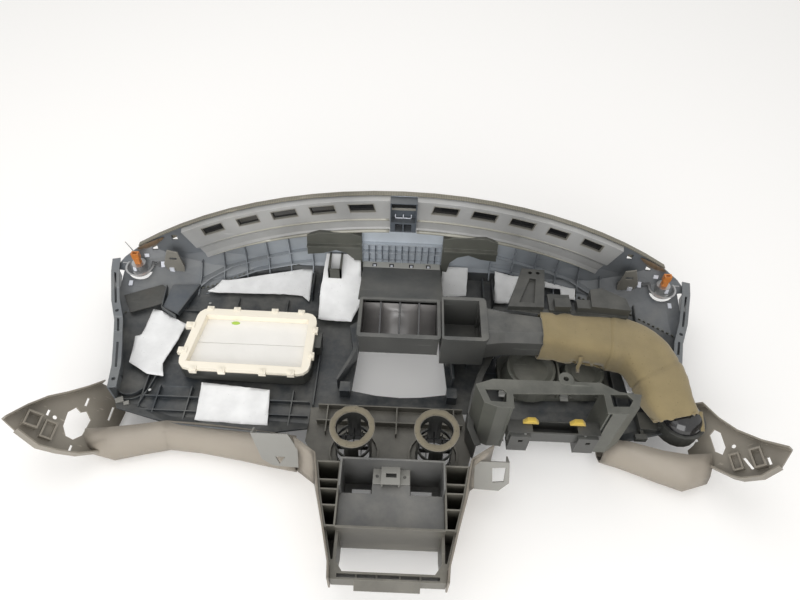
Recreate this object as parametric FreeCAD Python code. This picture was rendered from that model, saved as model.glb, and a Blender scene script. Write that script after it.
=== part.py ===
import FreeCAD, Part
import math
import os

# A stripped car dashboard that lies on its cabin side, as it is stored after removal.
# X runs across the car, Y is the car's up, and Z points towards the windshield and engine.
# Lengths are millimetres. The middle plane of the dashboard is x = 0.

vec = FreeCAD.Vector

# Walls and clearances
pad_wall = 3.0
carrier_wall = 3.0
trim_wall = 3.0
rib_wall = 2.4
plate_wall = 3.0
seat_gap = 0.3
corner_bays = 3
round_sides = 20
hole_sides = 12

# Top pad: the windshield edge is an arc in plan, and the end corners are cut back
edge_radius = 1060.0
edge_top = 307.0
edge_bay = 3.36
edge_bays = 10
channel_bays = 8
band_depth = 94.0
pad_half_width = 655.0
drawn_half_width = 655.0
stretch = pad_half_width / drawn_half_width
pad_rise = 9.0
end_top = 104.0
pad_rib_depth = 12.0
pad_rib_pitch = 50.0
pad_rib_start = 200.0
pad_rib_count = 6
grid_count = 5
defroster_slots = [(56, 110), (137, 190), (217, 271), (299, 347), (378, 427)]

# Face carrier
face_height = 44.0
face_rib_top = 60.0
lower_edge = -93.0
lap_height = 16.0

# Passenger airbag seen from behind
airbag_center = (-305.0, 31.0)
airbag_width = 268.0
airbag_height = 160.0
airbag_top = 95.0
airbag_surround_wall = 9.0
airbag_frame_width = 19.0
airbag_corner = 22.0

# Radio opening
radio_half_width = 90.0
radio_low = -49.0
radio_high = 94.0

# Round centre vents
vent_panel_half = 166.0
vent_offset = 73.5
vent_y = -188.0
vent_radius = 33.0
vent_top = 152.0
vent_low = 47.0
vent_wall = 2.0
gasket_height = 9.0
gasket_width = 8.0

# Gauge cluster opening
cluster_corner = 20.0
cluster_top = 98.0

# Ducts
duct_wall = 2.5
duct_mouth_top = 170.0
duct_corner = 15.0
sleeve_start = 278.0
duct_head = (83.0, 168.0)
bracket_low = 174.0
sleeve_thickness = 6.0

boot_x = 548.0
boot_y = -104.0
boot_radius = 41.0
boot_low = 50.0
boot_top = 88.0

# Centre stack
stack_half_width = 88.0
stack_top = 140.0
stack_low = -425.0
stack_high = -240.0
tray_height = 110.0
tray_low = -348.0
tray_wall = 3.0

# Steering column support
column_top = 200.0
column_low = 56.0
column_inner = (201.0, 366.0)
crossbar_top = 140.0
crossbar_depth = 32.0
crossbar_high = -151.0
shroud_top = 100.0

# End wings, plates that stand at 45 degrees in plan
wing_wall = 3.0
wing_start = 595.0 * stretch
wing_height = 55.0
wing_bolt = (48.0, -160.0)
wing_bolt_radius = 4.0
flange_bolt_radius = 4.0
flange_bolts = (0.44, 0.94)

# Felt pads and tweeters
felt_thickness = 2.5
tweeter_radius = 31.0
tweeter_x = 585.0 * stretch
tweeter_y = 218.0
tweeter_z = 88.0


def polygon(points):
    """Flat face through points of one plane."""
    closed = list(points) + [points[0]]
    return Part.Face(Part.makePolygon(closed))


def rounded(points, radius):
    """Flat face whose corners are bent in a few equal bays, at the radius or less on short edges."""
    if radius <= 0:
        return polygon(points)
    count = len(points)
    outline = []
    for index, corner in enumerate(points):
        before = points[index - 1] - corner
        after = points[(index + 1) % count] - corner
        half = before.getAngle(after) / 2
        reach = min(radius / math.tan(half), 0.45 * before.Length, 0.45 * after.Length)
        before.normalize()
        after.normalize()
        bisector = before + after
        bisector.normalize()
        center = corner + bisector * (reach / math.cos(half))
        enter = corner + before * reach - center
        leave = corner + after * reach - center
        sweep = enter.getAngle(leave)
        for bay in range(corner_bays + 1):
            share = bay / corner_bays
            spoke = enter * math.sin((1 - share) * sweep) + leave * math.sin(share * sweep)
            outline.append(center + spoke * (1 / math.sin(sweep)))
    return polygon(outline)


def slab_z(outline, z0, z1, radius=0):
    """Prism of an XY outline between two heights."""
    face = rounded([vec(x, y, z0) for x, y in outline], radius)
    return face.extrude(vec(0, 0, z1 - z0))


def slab_y(outline, y0, y1, radius=0):
    """Prism of an XZ outline between two y values."""
    face = rounded([vec(x, y0, z) for x, z in outline], radius)
    return face.extrude(vec(0, y1 - y0, 0))


def slab_x(outline, x0, x1, radius=0):
    """Prism of a YZ outline between two x values."""
    face = rounded([vec(x0, y, z) for y, z in outline], radius)
    return face.extrude(vec(x1 - x0, 0, 0))


def block(x0, x1, y0, y1, z0, z1):
    low = vec(min(x0, x1), min(y0, y1), min(z0, z1))
    return Part.makeBox(abs(x1 - x0), abs(y1 - y0), abs(z1 - z0), low)


def rod(radius, start, end):
    along = end - start
    return Part.makeCylinder(radius, along.Length, start, along)


def drum(x, y, z0, z1, radius, top_radius=None, sides=round_sides):
    """Upright many-sided drum or cone, whose flats touch the radius."""
    outlines = []
    for z, flat in ((z0, radius), (z1, top_radius or radius)):
        reach = flat / math.cos(math.pi / sides)
        turns = [math.pi * (2 * index + 1) / sides for index in range(sides)]
        outlines.append([vec(x + reach * math.cos(turn), y + reach * math.sin(turn), z) for turn in turns])
    return paneled(outlines)


def ring(x, y, z0, z1, outer, inner):
    return drum(x, y, z0, z1, outer).cut(drum(x, y, z0, z1, inner))


def strip(path, width):
    """Outline of an open path thickened to one side, its left, by the width."""
    count = len(path)
    offset = []
    for index, (x, y) in enumerate(path):
        first = max(index - 1, 0)
        last = min(index + 1, count - 1)
        normals = []
        for start, end in ((first, index), (index, last)):
            if start != end:
                dx, dy = path[end][0] - path[start][0], path[end][1] - path[start][1]
                length = math.hypot(dx, dy)
                normals.append((-dy / length, dx / length))
        nx = sum(n[0] for n in normals)
        ny = sum(n[1] for n in normals)
        size = math.hypot(nx, ny)
        nx, ny = nx / size, ny / size
        scale = width / (nx * normals[0][0] + ny * normals[0][1])
        offset.append((x + nx * scale, y + ny * scale))
    return list(path) + offset[::-1]


def join(shapes):
    """Fuse solids into one moulding."""
    body = shapes[0]
    if len(shapes) > 1:
        body = body.multiFuse(shapes[1:])
    return body.removeSplitter()


def cut_all(body, tools):
    """Cut the tools from the body and keep its largest solid."""
    result = body.cut(Part.makeCompound(tools))
    return max(result.Solids, key=lambda solid: solid.Volume)


def seat(body, walls):
    """Trim the body where it reaches into the walls that it lies against."""
    for wall in walls:
        if body.BoundBox.intersect(wall.BoundBox):
            body = max(body.cut(wall).Solids, key=lambda solid: solid.Volume)
    return body


def paneled(outlines):
    """Solid between outlines of equal point counts, made of flat panels like a folded sheet."""
    faces = [polygon(outlines[0]), polygon(outlines[-1])]
    for near, far in zip(outlines, outlines[1:]):
        count = len(near)
        for index in range(count):
            a, b = near[index], near[(index + 1) % count]
            c, d = far[(index + 1) % count], far[index]
            normal = (b - a).cross(c - a)
            if abs(normal.dot(d - a)) < 1e-6 * normal.Length:
                faces.append(polygon([a, b, c, d]))
                continue
            # Both skins of a wall fold along the same diagonal, and the two halves mirror each other.
            if (index < count // 2) == (near[0].x + far[0].x > 0):
                faces += [polygon([a, b, c]), polygon([a, c, d])]
            else:
                faces += [polygon([a, b, d]), polygon([b, c, d])]
    shell = Part.makeShell(faces)
    shell.sewShape()
    solid = Part.makeSolid(shell)
    if solid.Volume < 0:
        solid.reverse()
    return solid


def edge_arc(x, drop=0.0):
    """Height of the windshield edge at x, or of the arc that runs the drop inside it."""
    radius = edge_radius - drop
    return math.sqrt(radius ** 2 - x ** 2) + edge_top - edge_radius


def skin(stations, wall):
    """Shell lofted through the stations: each is x with its outer path of (y, z) points.

    The wall lies to the right of the path's direction, which is the inside of the dashboard.
    """
    outlines = []
    for x, path in stations:
        # A right-hand offset is the left-hand offset of the reversed path.
        outlines.append([vec(x, y, z) for y, z in strip(path[::-1], wall)])
    return paneled(outlines)


def both_sides(stations):
    """Stations of one half, given from the middle out, for both halves."""
    return [(-x, path) for x, path in stations[:0:-1]] + list(stations)


# Outer paths of the top pad, from the windshield edge down to the joint with the face.
# Each station's x is drawn for the nominal half width, and moves with the real one.
pad_drawn = [
    (0, [(255, 307), (256, 213), (261, 150), (258, 100), (248, 75)]),
    (118, [(255, 300), (256, 206), (261, 143), (258, 99), (248, 74)]),
    (236, [(255, 280), (256, 186), (260, 130), (258, 95), (248, 72)]),
    (330, [(255, 254), (256, 160), (256, 110), (250, 80), (238, 58)]),
    (430, [(255, 216), (255, 122), (243, 88), (215, 66), (182, 52)]),
    (510, [(255, 176), (250, 106), (225, 82), (190, 68), (150, 56)]),
    (590, [(252, 130), (235, 100), (203, 86), (148, 71), (92, 60)]),
    (drawn_half_width, [(231, 97), (215, 88), (185, 80), (130, 70), (70, 62)]),
]
pad_paths = [(x * stretch, path) for x, path in pad_drawn]

# Outer paths of the face below its lap flange, down to the lower trims.
face_drawn = [
    (0, [(150, 46), (40, 40), (-60, 42), (lower_edge, 46), (lower_edge - 40, 50)]),
    (118, [(150, 46), (40, 40), (-60, 42), (lower_edge, 46), (lower_edge - 40, 50)]),
    (236, [(150, 48), (40, 42), (-80, 46), (-130, 52), (-166, 72)]),
    (330, [(150, 48), (40, 42), (-80, 46), (-130, 52), (-160, 72)]),
    (430, [(110, 44), (30, 42), (-80, 46), (-130, 52), (-152, 70)]),
    (510, [(90, 46), (20, 44), (-60, 46), (-106, 52), (-128, 62)]),
    (590, [(45, 50), (0, 48), (-45, 50), (-80, 54), (-108, 62)]),
    (drawn_half_width, [(40, 54), (10, 53), (-30, 53), (-60, 54), (-80, 60)]),
]


def lap_flange(pad_path):
    """First two points of the face: a flange that lies inside the pad's last stretch."""
    (y0, z0), (y1, z1) = pad_path[-2], pad_path[-1]
    length = math.hypot(y1 - y0, z1 - z0)
    dy, dz = (y1 - y0) / length, (z1 - z0) / length
    inset = pad_wall + seat_gap
    foot = (y1 + dz * inset, z1 - dy * inset)
    return [(foot[0] - dy * lap_height, foot[1] - dz * lap_height), (foot[0] + 5 * dy, foot[1] + 5 * dz)]


face_paths = [(x, lap_flange(pad_path) + rest)
              for (x, pad_path), (drawn_x, rest) in zip(pad_paths, face_drawn)]

# Plan outline of the whole moulding, narrower towards the driver's knees.
end_drawn = [(650, 232), (641, 196), (612, 112), (588, 60), (570, 0), (556, -50), (548, -100)]
end_line = [(x * stretch, y) for x, y in end_drawn]


def plan_prism():
    """Everything inside the plan outline of the dashboard."""
    half = [(0, 320), (500, 320)] + end_line + [(500, -180), (0, -180)]
    outline = half + [(-x, y) for x, y in half[-2:0:-1]]
    return slab_z(outline, -20, 420)


def pad_envelope(depth):
    """Solid between the pad's mid wall and the given depth inside it."""
    outlines = []
    for x, path in both_sides(pad_paths):
        full = strip(path[::-1], depth)
        half = strip(path[::-1], pad_wall / 2)
        count = len(path)
        outline = half[count:][::-1] + full[count:]
        outlines.append([vec(x, y, z) for y, z in outline])
    return paneled(outlines)


def edge_point(radius, y, bay):
    """Point beside the windshield edge, whose arc is bent in equal bays from the middle."""
    turn = math.radians(bay * edge_bay)
    return vec(radius * math.sin(turn), y, edge_top - edge_radius + radius * math.cos(turn))


def edge_disc(radius, y0, y1):
    """Prism under the arc of the windshield edge."""
    arc = [edge_point(radius, y0, bay) for bay in range(-edge_bays - 2, edge_bays + 3)]
    outline = [(point.x, point.z) for point in arc]
    return slab_y([(outline[0][0], -100)] + outline + [(outline[-1][0], -100)], y0, y1)


def turned(profile, bays):
    """Bent bar of an (r, y) outline that follows the arc of the windshield edge."""
    outlines = []
    for bay in range(-bays, bays + 1):
        outlines.append([edge_point(r, y, bay) for r, y in profile])
    return paneled(outlines)


def make_pad():
    raised = []
    for x, path in both_sides(pad_paths):
        (y0, z0), (y1, z1) = path[0], path[1]
        top = (y0 + (y0 - y1) * pad_rise / (z0 - z1), z0 + pad_rise)
        raised.append((x, [top] + path[1:]))
    shell = skin(raised, pad_wall).common(plan_prism())
    shell = shell.common(edge_disc(edge_radius, -200, 400))
    upright, across = [], []
    for side in (-1, 1):
        for index in range(pad_rib_count):
            x = side * (pad_rib_start + index * pad_rib_pitch)
            upright.append(block(x - rib_wall / 2, x + rib_wall / 2, 60, 300, 30, 330))
        for high, low in ((144, 72), (106, 56)):
            end = pad_rib_start + (pad_rib_count - 1) * pad_rib_pitch
            line = [(side * pad_rib_start, high), (side * end, low), (side * end, low - rib_wall),
                    (side * pad_rib_start, high - rib_wall)]
            across.append(slab_y(line, 60, 300))
    grid_half = stack_half_width
    for index in range(grid_count):
        x = -grid_half + 2 * grid_half * index / (grid_count - 1)
        upright.append(block(x - 1, x + 1, 200, 300, 114, 167))
    for height in (113, 140, 166):
        across.append(block(-grid_half, grid_half, 200, 300, height, height + 2))
    room = pad_envelope(pad_rib_depth).common(edge_disc(edge_radius - band_depth, -200, 400))
    grown = []
    for group in (upright, across):
        grown += Part.makeCompound(group).common(room).Solids
    windows = []
    for x, z in ((501, 160), (553, 128), (626, 84)):
        for side in (-1, 1):
            middle = side * x * stretch
            windows.append(block(middle - 6, middle + 6, 150, 300, z - 7, z + 7))
    return cut_all(join([shell] + grown), windows + tweeter_holes())


def tweeter_holes():
    x, y, z = tweeter_x, tweeter_y, tweeter_z
    return [drum(side * x, y, z - 60, z, tweeter_radius - 4) for side in (-1, 1)]


def make_face_carrier(pad):
    shell = skin(both_sides(face_paths), carrier_wall).common(plan_prism())
    radio = slab_z(radio_outline(), 20, 90)
    throat = airbag_outline(airbag_surround_wall - 3 - seat_gap)
    chute = slab_z(throat, 20, 90, airbag_corner)
    cluster = slab_z(cluster_outline(0), 20, 90, cluster_corner)
    column = block(column_inner[0] + 4, 385, -300, -118, 0, 140)
    center = block(-vent_panel_half, vent_panel_half, -400, lower_edge, 0, 140)
    outlet = drum(boot_x, boot_y, 0, 90, boot_radius + seat_gap)
    base = face_height - 1
    top = face_rib_top
    upright, across = [], []
    for x in (-470, -407, -340, -270, -205):
        upright.append(block(x, x + rib_wall, -150, -62, base, top))
    for x in (-500, -163, 440, 470):
        upright.append(block(x, x + rib_wall, -112, 60, base, top))
    for x in (-470, -360, -250, 440):
        upright.append(block(x, x + rib_wall, 130, 171, base, top))
    for x in (-197, -181, 184, 206):
        upright.append(block(x, x + 3, 172, 236, base, 86))
    for y in (-88, -119):
        across.append(block(-500, -vent_panel_half - 3, y, y + rib_wall, base, top))
    for y in (-88,):
        across.append(block(428, 500, y, y + rib_wall, base, top))
    across.append(block(-490, -130, 128, 128 + rib_wall, base, top))
    across.append(block(104, 490, 128, 128 + rib_wall, base, top))
    struts = [slab_z([(-104, 92), (-88, 104), (-84, 96), (-84, 30), (-100, -8), (-118, -46), (-120, -40),
                      (-103, 0), (-92, 32)], base, 78),
              slab_z([(110, 92), (106, 92), (109, 20), (112, -30), (116, -30), (113, 20)], base, 78),
              block(-112, -92, -66, -44, base, 72), block(100, 120, -72, -50, base, 72),
              block(143, 147, 18, 74, base, 74)]
    room = skin([(x, [(y, z + 1.5) for y, z in path]) for x, path in both_sides(face_paths)], 60)
    kept = []
    for group in (upright, across, struts):
        kept += Part.makeCompound(group).common(room).Solids
    whole = cut_all(join([shell] + kept), [radio, chute, cluster, column, center, outlet])
    return seat(whole, [pad])


def radio_outline():
    return [(-radio_half_width + 10, radio_high), (radio_half_width + 2, radio_high),
            (radio_half_width + 14, radio_low), (50, radio_low - 9), (8, radio_low - 12),
            (-40, radio_low - 9), (-radio_half_width, radio_low)]


def airbag_outline(inset):
    x, y = airbag_center
    half_w = airbag_width / 2 - inset
    half_h = airbag_height / 2 - inset
    return [(x - half_w + 14, y + half_h), (x + half_w, y + half_h - 2),
            (x + half_w, y - half_h), (x - half_w, y - half_h + 4)]


def cluster_outline(inset):
    return [(206 + inset, 44 - inset), (424 - inset, 44 - inset), (436 - inset, -50 + inset),
            (206 + inset, -60 + inset)]


def make_airbag():
    """Black chute, cream frame and white door plate of the passenger airbag."""
    rest = face_rib_top + seat_gap
    outer = slab_z(airbag_outline(0), rest, airbag_top - 8, airbag_corner + 4)
    inner = slab_z(airbag_outline(airbag_surround_wall), 20, airbag_top, airbag_corner)
    throat = slab_z(airbag_outline(airbag_surround_wall - 3), 40, rest + 2, airbag_corner)
    x, y = airbag_center
    latch = block(x + airbag_width / 2 - 6, x + airbag_width / 2 + 12, y - 6, y + 32, rest, airbag_top - 9)
    surround = join([outer, throat, latch]).cut(inner)
    low = airbag_top - 8
    rim = slab_z(airbag_outline(2), low, airbag_top, airbag_corner)
    opening = slab_z(airbag_outline(airbag_frame_width), low - 5, airbag_top + 5)
    collar = slab_z(airbag_outline(airbag_surround_wall + seat_gap), 76, low, airbag_corner)
    collar = collar.cut(slab_z(airbag_outline(airbag_frame_width), 70, airbag_top))
    frame = [rim.cut(opening), collar]
    half_w, half_h = airbag_width / 2, airbag_height / 2
    for share in (-0.72, -0.3, 0.3, 0.72):
        frame.append(block(x + share * half_w - 7, x + share * half_w + 7, y + half_h - 8, y + half_h + 3,
                           low, airbag_top + 1.5))
        frame.append(block(x + share * half_w - 7, x + share * half_w + 7, y - half_h - 1, y - half_h + 10,
                           low, airbag_top + 1.5))
    for share in (-0.4, 0.4):
        frame.append(block(x - half_w - 3, x - half_w + 16, y + share * half_h - 7, y + share * half_h + 7,
                           low, airbag_top + 1.5))
        frame.append(block(x + half_w - 8, x + half_w + 3, y + share * half_h - 7, y + share * half_h + 7,
                           low, airbag_top + 1.5))
    door = slab_z(airbag_outline(airbag_frame_width), 76, 79)
    tear = block(x - half_w, x + half_w, y - 0.6, y + 0.6, 78, 80)
    cover = slab_z(airbag_outline(airbag_surround_wall + seat_gap), 47, 51, airbag_corner)
    return surround, join(frame), door.cut(tear), cover


def make_edge_trim():
    """Covering skin that wraps the windshield edge of the pad."""
    inner, outer = edge_radius + seat_gap, edge_radius + seat_gap + 3
    face = 256 + 2 * seat_gap
    return turned([(edge_radius - 22, face), (inner, face), (inner, 249), (outer, 249), (outer, face + 3),
                   (edge_radius - 22, face + 3)], edge_bays)


def make_defroster(pad):
    """Air channel under the windshield edge, with its ten outlet slots."""
    r = edge_radius
    under = 255 - pad_wall - seat_gap
    path = [(r - 4, under), (r - 7, under - 10), (r - 56, under - 10), (r - 66, under - 2),
            (r - 84, under - 2), (r - band_depth, under - 6)]
    reverse = [(y, z) for z, y in path][::-1]
    outline = [(z, y) for y, z in strip(reverse, 2.0)]
    channel = turned(outline, channel_bays)
    slots = []
    for side in (-1, 1):
        for low, high in defroster_slots:
            slots.append(slot_cutter(side, low, high, 228, 251))
    sensor = block(-27 - seat_gap, 27 + seat_gap, 220, 256, edge_arc(0) - band_depth + 12, edge_arc(0) + 5)
    return seat(cut_all(channel, slots + [sensor]), [pad])


def slot_cutter(side, low, high, y0, y1):
    """Leaning window of one defroster outlet, which follows the edge's arc."""
    lean = 5
    bottom, top = 36, 13
    corners = [(side * low, edge_arc(low) - bottom), (side * high, edge_arc(high) - bottom),
               (side * (high + lean), edge_arc(high + lean) - top),
               (side * (low + lean), edge_arc(low + lean) - top)]
    return slab_y(corners, y0, y1)


def make_sensor_bracket(pad):
    """Open box for the sun sensor in the middle of the windshield edge."""
    low, high = edge_arc(0) - band_depth + 12 + seat_gap, edge_arc(0) - 4
    box = block(-27, 27, 230, 255 - pad_wall - seat_gap, low, high)
    hollow = block(-25, 25, 225, 248, low + 26, high - 2)
    foot = block(-17, 17, 225, 248, low + 2, low + 22)
    post = block(-1.5, 1.5, 226, 248, low + 2, low + 22)
    bar = block(-17, 17, 228, 230, low + 14, low + 16)
    return cut_all(box, [hollow, foot.cut(post).cut(bar), pad])


def make_arch_bracket(side, walls):
    """Bridge from the pad to the face on one side of the centre duct."""
    outer = [(88, 96), (88, 200), (112, 207), (178, 206), (205, 196), (208, 140), (172, 145), (145, 156),
             (122, 148), (106, 130), (101, 96)]
    corners = [(side * x, z) for x, z in outer]
    plate = slab_y(corners, 238, 241)
    web = slab_y([(side * x, z) for x, z in ((90, 172), (90, 176), (206, 174), (206, 170))], 228, 239)
    roof = slab_y([(side * x, z) for x, z in ((88, 196), (88, 200), (112, 207), (178, 206), (205, 196),
                                              (203, 192), (178, 202), (112, 203))], 239, 266)
    ends = [block(side * 88, side * 91, 239, 266, 100, 198), block(side * 202, side * 205, 239, 266, 150, 194)]
    return seat(join([plate, web, roof] + ends), walls)


def make_center_duct(pad, carrier):
    """Plate from the pad down to a wide mouth over the radio opening."""
    x0, x1 = -77.0, 78.0
    top = duct_mouth_top
    ramp = slab_x([(237, 112), (94, top - 4), (94, top - 7), (237, 109)], x0 - 8, x1 + 10)
    outer = slab_x([(96, top - 6), (94, top), (2, top), (-1, top - 4), (4, 108), (70, 84), (236, 84),
                    (236, 109)], x0, x1)
    hollow = slab_x([(91, top + 5), (6, top + 5), (7, 112), (70, 88), (232, 88), (232, 105), (96, top - 9)],
                    x0 + 3, x1 - 3)
    dividers = []
    for share in (0.25, 0.5, 0.75):
        x = x0 + share * (x1 - x0)
        dividers.append(slab_x([(90, top - 6), (8, top - 30), (8, 108), (70, 86), (90, 86)], x - 1.2, x + 1.2))
    lip = slab_z([(x0 - 4, 97), (x1 + 4, 97), (x1 + 4, -3), (x0 - 4, -3)], top - 5, top, 7)
    lip = lip.cut(slab_z([(x0 + 3, 91), (x1 - 3, 91), (x1 - 3, 5), (x0 + 3, 5)], top - 8, top + 3))
    flange = slab_y([(x0 - 11, 106), (x0 - 11, 113), (x1 + 11, 113), (x1 + 11, 106)], 234, 262)
    windows = [block(x - 4, x + 4, 225, 246, 103, 110) for x in (-60, -22, 22, 60)]
    feet = [block(x, x + 3, 190, 230, 40, 86) for x in (x0, x1 - 3)]
    body = join([outer.cut(hollow), ramp, lip, flange] + dividers + feet)
    return seat(cut_all(body, windows), [pad, carrier])


# Sections of the driver's duct: x, y, z, heading, dive, width and height.
duct_stations = [
    (165, 42, 140, 0, 0, 94, 76),
    (205, 40, 142, 0, 0, 78, 72),
    (278, 37, 143, 0, 0, 68, 68),
    (380, 30, 143, -4, 0, 84, 62),
    (426, 26, 142, -16, 0, 96, 60),
    (472, 12, 134, -42, 0, 96, 56),
    (504, -30, 121, -62, 8, 94, 52),
    (516, -80, 109, -80, 14, 82, 46),
    (530, -110, 100, -74, 26, 70, 42),
]


def duct_body(grow):
    """Tube of rounded sections along the driver's duct, grown outwards by the given amount."""
    outlines = []
    for x, y, z, heading, dive, width, height in duct_stations:
        turn = math.radians(heading)
        tip = math.radians(dive)
        across = vec(-math.sin(turn), math.cos(turn), 0)
        ahead = vec(math.cos(turn) * math.cos(tip), math.sin(turn) * math.cos(tip), -math.sin(tip))
        up = ahead.cross(across)
        middle = vec(x, y, z)
        half_w, half_h = width / 2 + grow, height / 2 + grow
        bend = duct_corner + 0.6 * grow
        corners = []
        for a, b in ((1, 1), (-1, 1), (-1, -1), (1, -1)):
            flat = middle + across * a * (half_w - bend) + up * b * half_h
            side = middle + across * a * half_w + up * b * (half_h - bend)
            corners += [side, flat] if a * b > 0 else [flat, side]
        outlines.append(corners)
    return paneled(outlines)


def make_driver_duct(walls):
    """Moulded duct from the heater outlet to the driver's side vent, with its wide open mouth."""
    shell = duct_body(0)
    hollow = duct_body(-duct_wall)
    x0, x1 = duct_head
    head = slab_z([(x0, 94), (x1, 94), (x1, -9), (x0, -9)], 98, 182)
    well = slab_z([(x0 + 4, 88), (x1 - 10, 88), (x1 - 10, -3), (x0 + 4, -3)], 102, 190)
    passage = block(x1 - 18, x1 - 2, 8, 76, 108, 172)
    flare = slab_z([(x0, 96), (x1 + 4, 96), (x1 + 4, -11), (x0, -11)], 177, 182, 10)
    foot = block(100, 112, 20, 60, 40, 100)
    body = join([shell, head, flare, foot])
    return seat(cut_all(body, [hollow, well, passage]), walls)


def make_sleeve(walls):
    """Foam wrap round the duct, from its straight run to the bend's end."""
    outer = duct_body(sleeve_thickness)
    inner = duct_body(seat_gap)
    start = block(0, sleeve_start, -100, 200, 0, 300)
    return seat(cut_all(outer, [inner, start]), walls)


def boot_room():
    """Space that the duct's collar takes, with its clearance."""
    radius = boot_radius + 3 + seat_gap
    return drum(boot_x, boot_y, boot_low - 20, boot_top + seat_gap, radius)


def make_outlet_boot(carrier):
    """Round collar that takes the duct's end to the side vent."""
    r = boot_radius
    wall = ring(boot_x, boot_y, boot_low, boot_top - 6, r, r - 3)
    collar = ring(boot_x, boot_y, boot_top - 6, boot_top, r + 3, r - 3)
    rest = face_rib_top + seat_gap
    latch = block(boot_x - 80, boot_x - 48, boot_y - 20, boot_y + 16, rest, 76)
    arm = block(boot_x - 52, boot_x - r + 2, boot_y - 14, boot_y + 6, rest, 74)
    clip = block(boot_x - 94, boot_x - 72, boot_y - 42, boot_y - 32, 66, 78)
    hook = block(boot_x - 80, boot_x - 74, boot_y - 34, boot_y - 18, 66, 72)
    return seat(join([wall, collar, latch, arm, clip, hook]), [carrier])


def make_duct_bracket(pad):
    """Leaning bracket and saddle blocks on the upper side of the driver's duct."""
    outline = [(213, 71), (250, 175), (297, 172), (284, 72)]
    low = bracket_low
    plate = slab_z(outline, low, low + 16)
    recess = slab_z([(236, 82), (264, 148), (276, 146), (266, 82)], low + 9, low + 20)
    under = slab_z([(221, 78), (254, 169), (291, 167), (279, 78)], low - 5, low + 6)
    holes = [drum(x, 163, low - 5, low + 20, 4, sides=hole_sides) for x in (266, 282)]
    saddles = [slab_z([(296, 70), (296, 112), (340, 112), (340, 70)], low + 2, low + 10),
               slab_z([(305, 70), (305, 92), (336, 92), (336, 70)], low + 8, low + 22),
               slab_z([(350, 72), (350, 94), (384, 94), (384, 72)], low + 2, low + 18),
               slab_z([(376, 72), (380, 116), (404, 122), (448, 96), (452, 66)], low - 2, low + 24)]
    rail = block(220, 450, 64, 78, low - 4, low + 4)
    body = join([plate, rail] + saddles)
    return seat(cut_all(body, [recess, under] + holes), [duct_body(sleeve_thickness + seat_gap), pad])


def make_cluster_housing():
    """Rear housing of the gauges: a plate with two round cups and a rib between them."""
    plate = slab_z(cluster_outline(seat_gap), 42, 60, cluster_corner)
    cups, hollows = [], []
    for x, y, low_radius, high_radius in ((268, -10, 56, 48), (374, -12, 46, 38)):
        cups.append(drum(x, y, 59, cluster_top, low_radius, high_radius))
        hollows.append(drum(x, y, cluster_top - 7, cluster_top + 1, high_radius - 14, high_radius - 3))
    rib = block(319, 322, -56, 40, 59, cluster_top + 4)
    return cut_all(join([plate] + cups + [rib]), hollows)


def make_hood(carrier):
    """Hood over the gauges on the cabin side; the dashboard partly rests on it."""
    outline = [(190, -62), (176, 60), (196, 128), (250, 152), (390, 152), (436, 128), (452, 60), (444, -62)]
    body = slab_z(outline, 0, 52, 22)
    inner = [(196, -70), (182, 58), (202, 122), (253, 146), (387, 146), (430, 122), (446, 58), (438, -70)]
    return seat(body.cut(slab_z(inner, -5, 60, 18)), [carrier])


def make_column_support(carrier):
    """Bridge over the steering column with its two legs and windows."""
    top = column_top
    outline = [(139, -118), (170, -106), (361, -105), (390, -122), (428, -126), (418, -154), (396, -166),
               (174, -162), (152, -154)]
    plate = slab_z(outline, top - plate_wall, top)
    windows = [slab_z([(155, -128), (186, -127), (192, -134), (190, -152), (163, -151)], top - 20, top + 5),
               slab_z([(203, -134), (362, -128), (362, -190), (203, -190)], top - 60, top + 5),
               slab_z([(373, -128), (402, -127), (411, -138), (402, -151), (374, -152)], top - 20, top + 5)]
    low = column_low
    legs = []
    for path in ([(139, -118), (152, -154), (174, -162), (200, -162)],
                 [(371, -166), (396, -166), (418, -154), (428, -126)]):
        legs.append(slab_z(strip(path, plate_wall), low, top))
    for x in (column_inner[0] - plate_wall, column_inner[1]):
        legs.append(block(x, x + plate_wall, -163, -110, low, top))
    rim = slab_z(strip([(361, -108), (170, -109), (141, -121)], plate_wall), top - 14, top)
    right_rim = slab_z(strip([(428, -126), (390, -122), (361, -108)], plate_wall), top - 14, top)
    boss = drum(300, -100, top - 24, top + 1, 13, sides=hole_sides)
    arm = block(292, 308, -116, -108, top - 24, top)
    body = join([plate, rim, right_rim, boss, arm] + legs)
    bore = rod(5, vec(300, -100, 100), vec(300, -100, 300))
    return seat(cut_all(body, windows + [bore]), [carrier])


def make_crossbar():
    """Bar in front of the column gap with its two fixing lugs."""
    high = crossbar_high
    low = high - crossbar_depth
    x0, x1 = column_inner[0] + seat_gap, column_inner[1] - seat_gap
    bar = block(x0, x1, low + 6, high, crossbar_top - 30, crossbar_top)
    trough = block(x0 + 44, x1 - 40, low + 9, high - 3, crossbar_top - 27, crossbar_top + 2)
    lugs = [block(x0 + 4, x0 + 40, low, high - 8, crossbar_top - 56, crossbar_top - 4),
            block(x1 - 40, x1 - 4, low, high - 8, crossbar_top - 56, crossbar_top - 4)]
    holes = [block(x - 4, x + 4, low - 3, high + 3, crossbar_top - 24, crossbar_top - 16)
             for x in (x0 + 24, x1 - 20)]
    return cut_all(join([bar.cut(trough)] + lugs), holes)


def make_yellow_pad(x):
    """Yellow felt wedge that stands on the bar's back edge."""
    low = crossbar_top + seat_gap
    outline = [(x - 15, low), (x - 7, low + 11), (x + 7, low + 11), (x + 15, low)]
    return slab_y(outline, crossbar_high - 9, crossbar_high)


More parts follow.
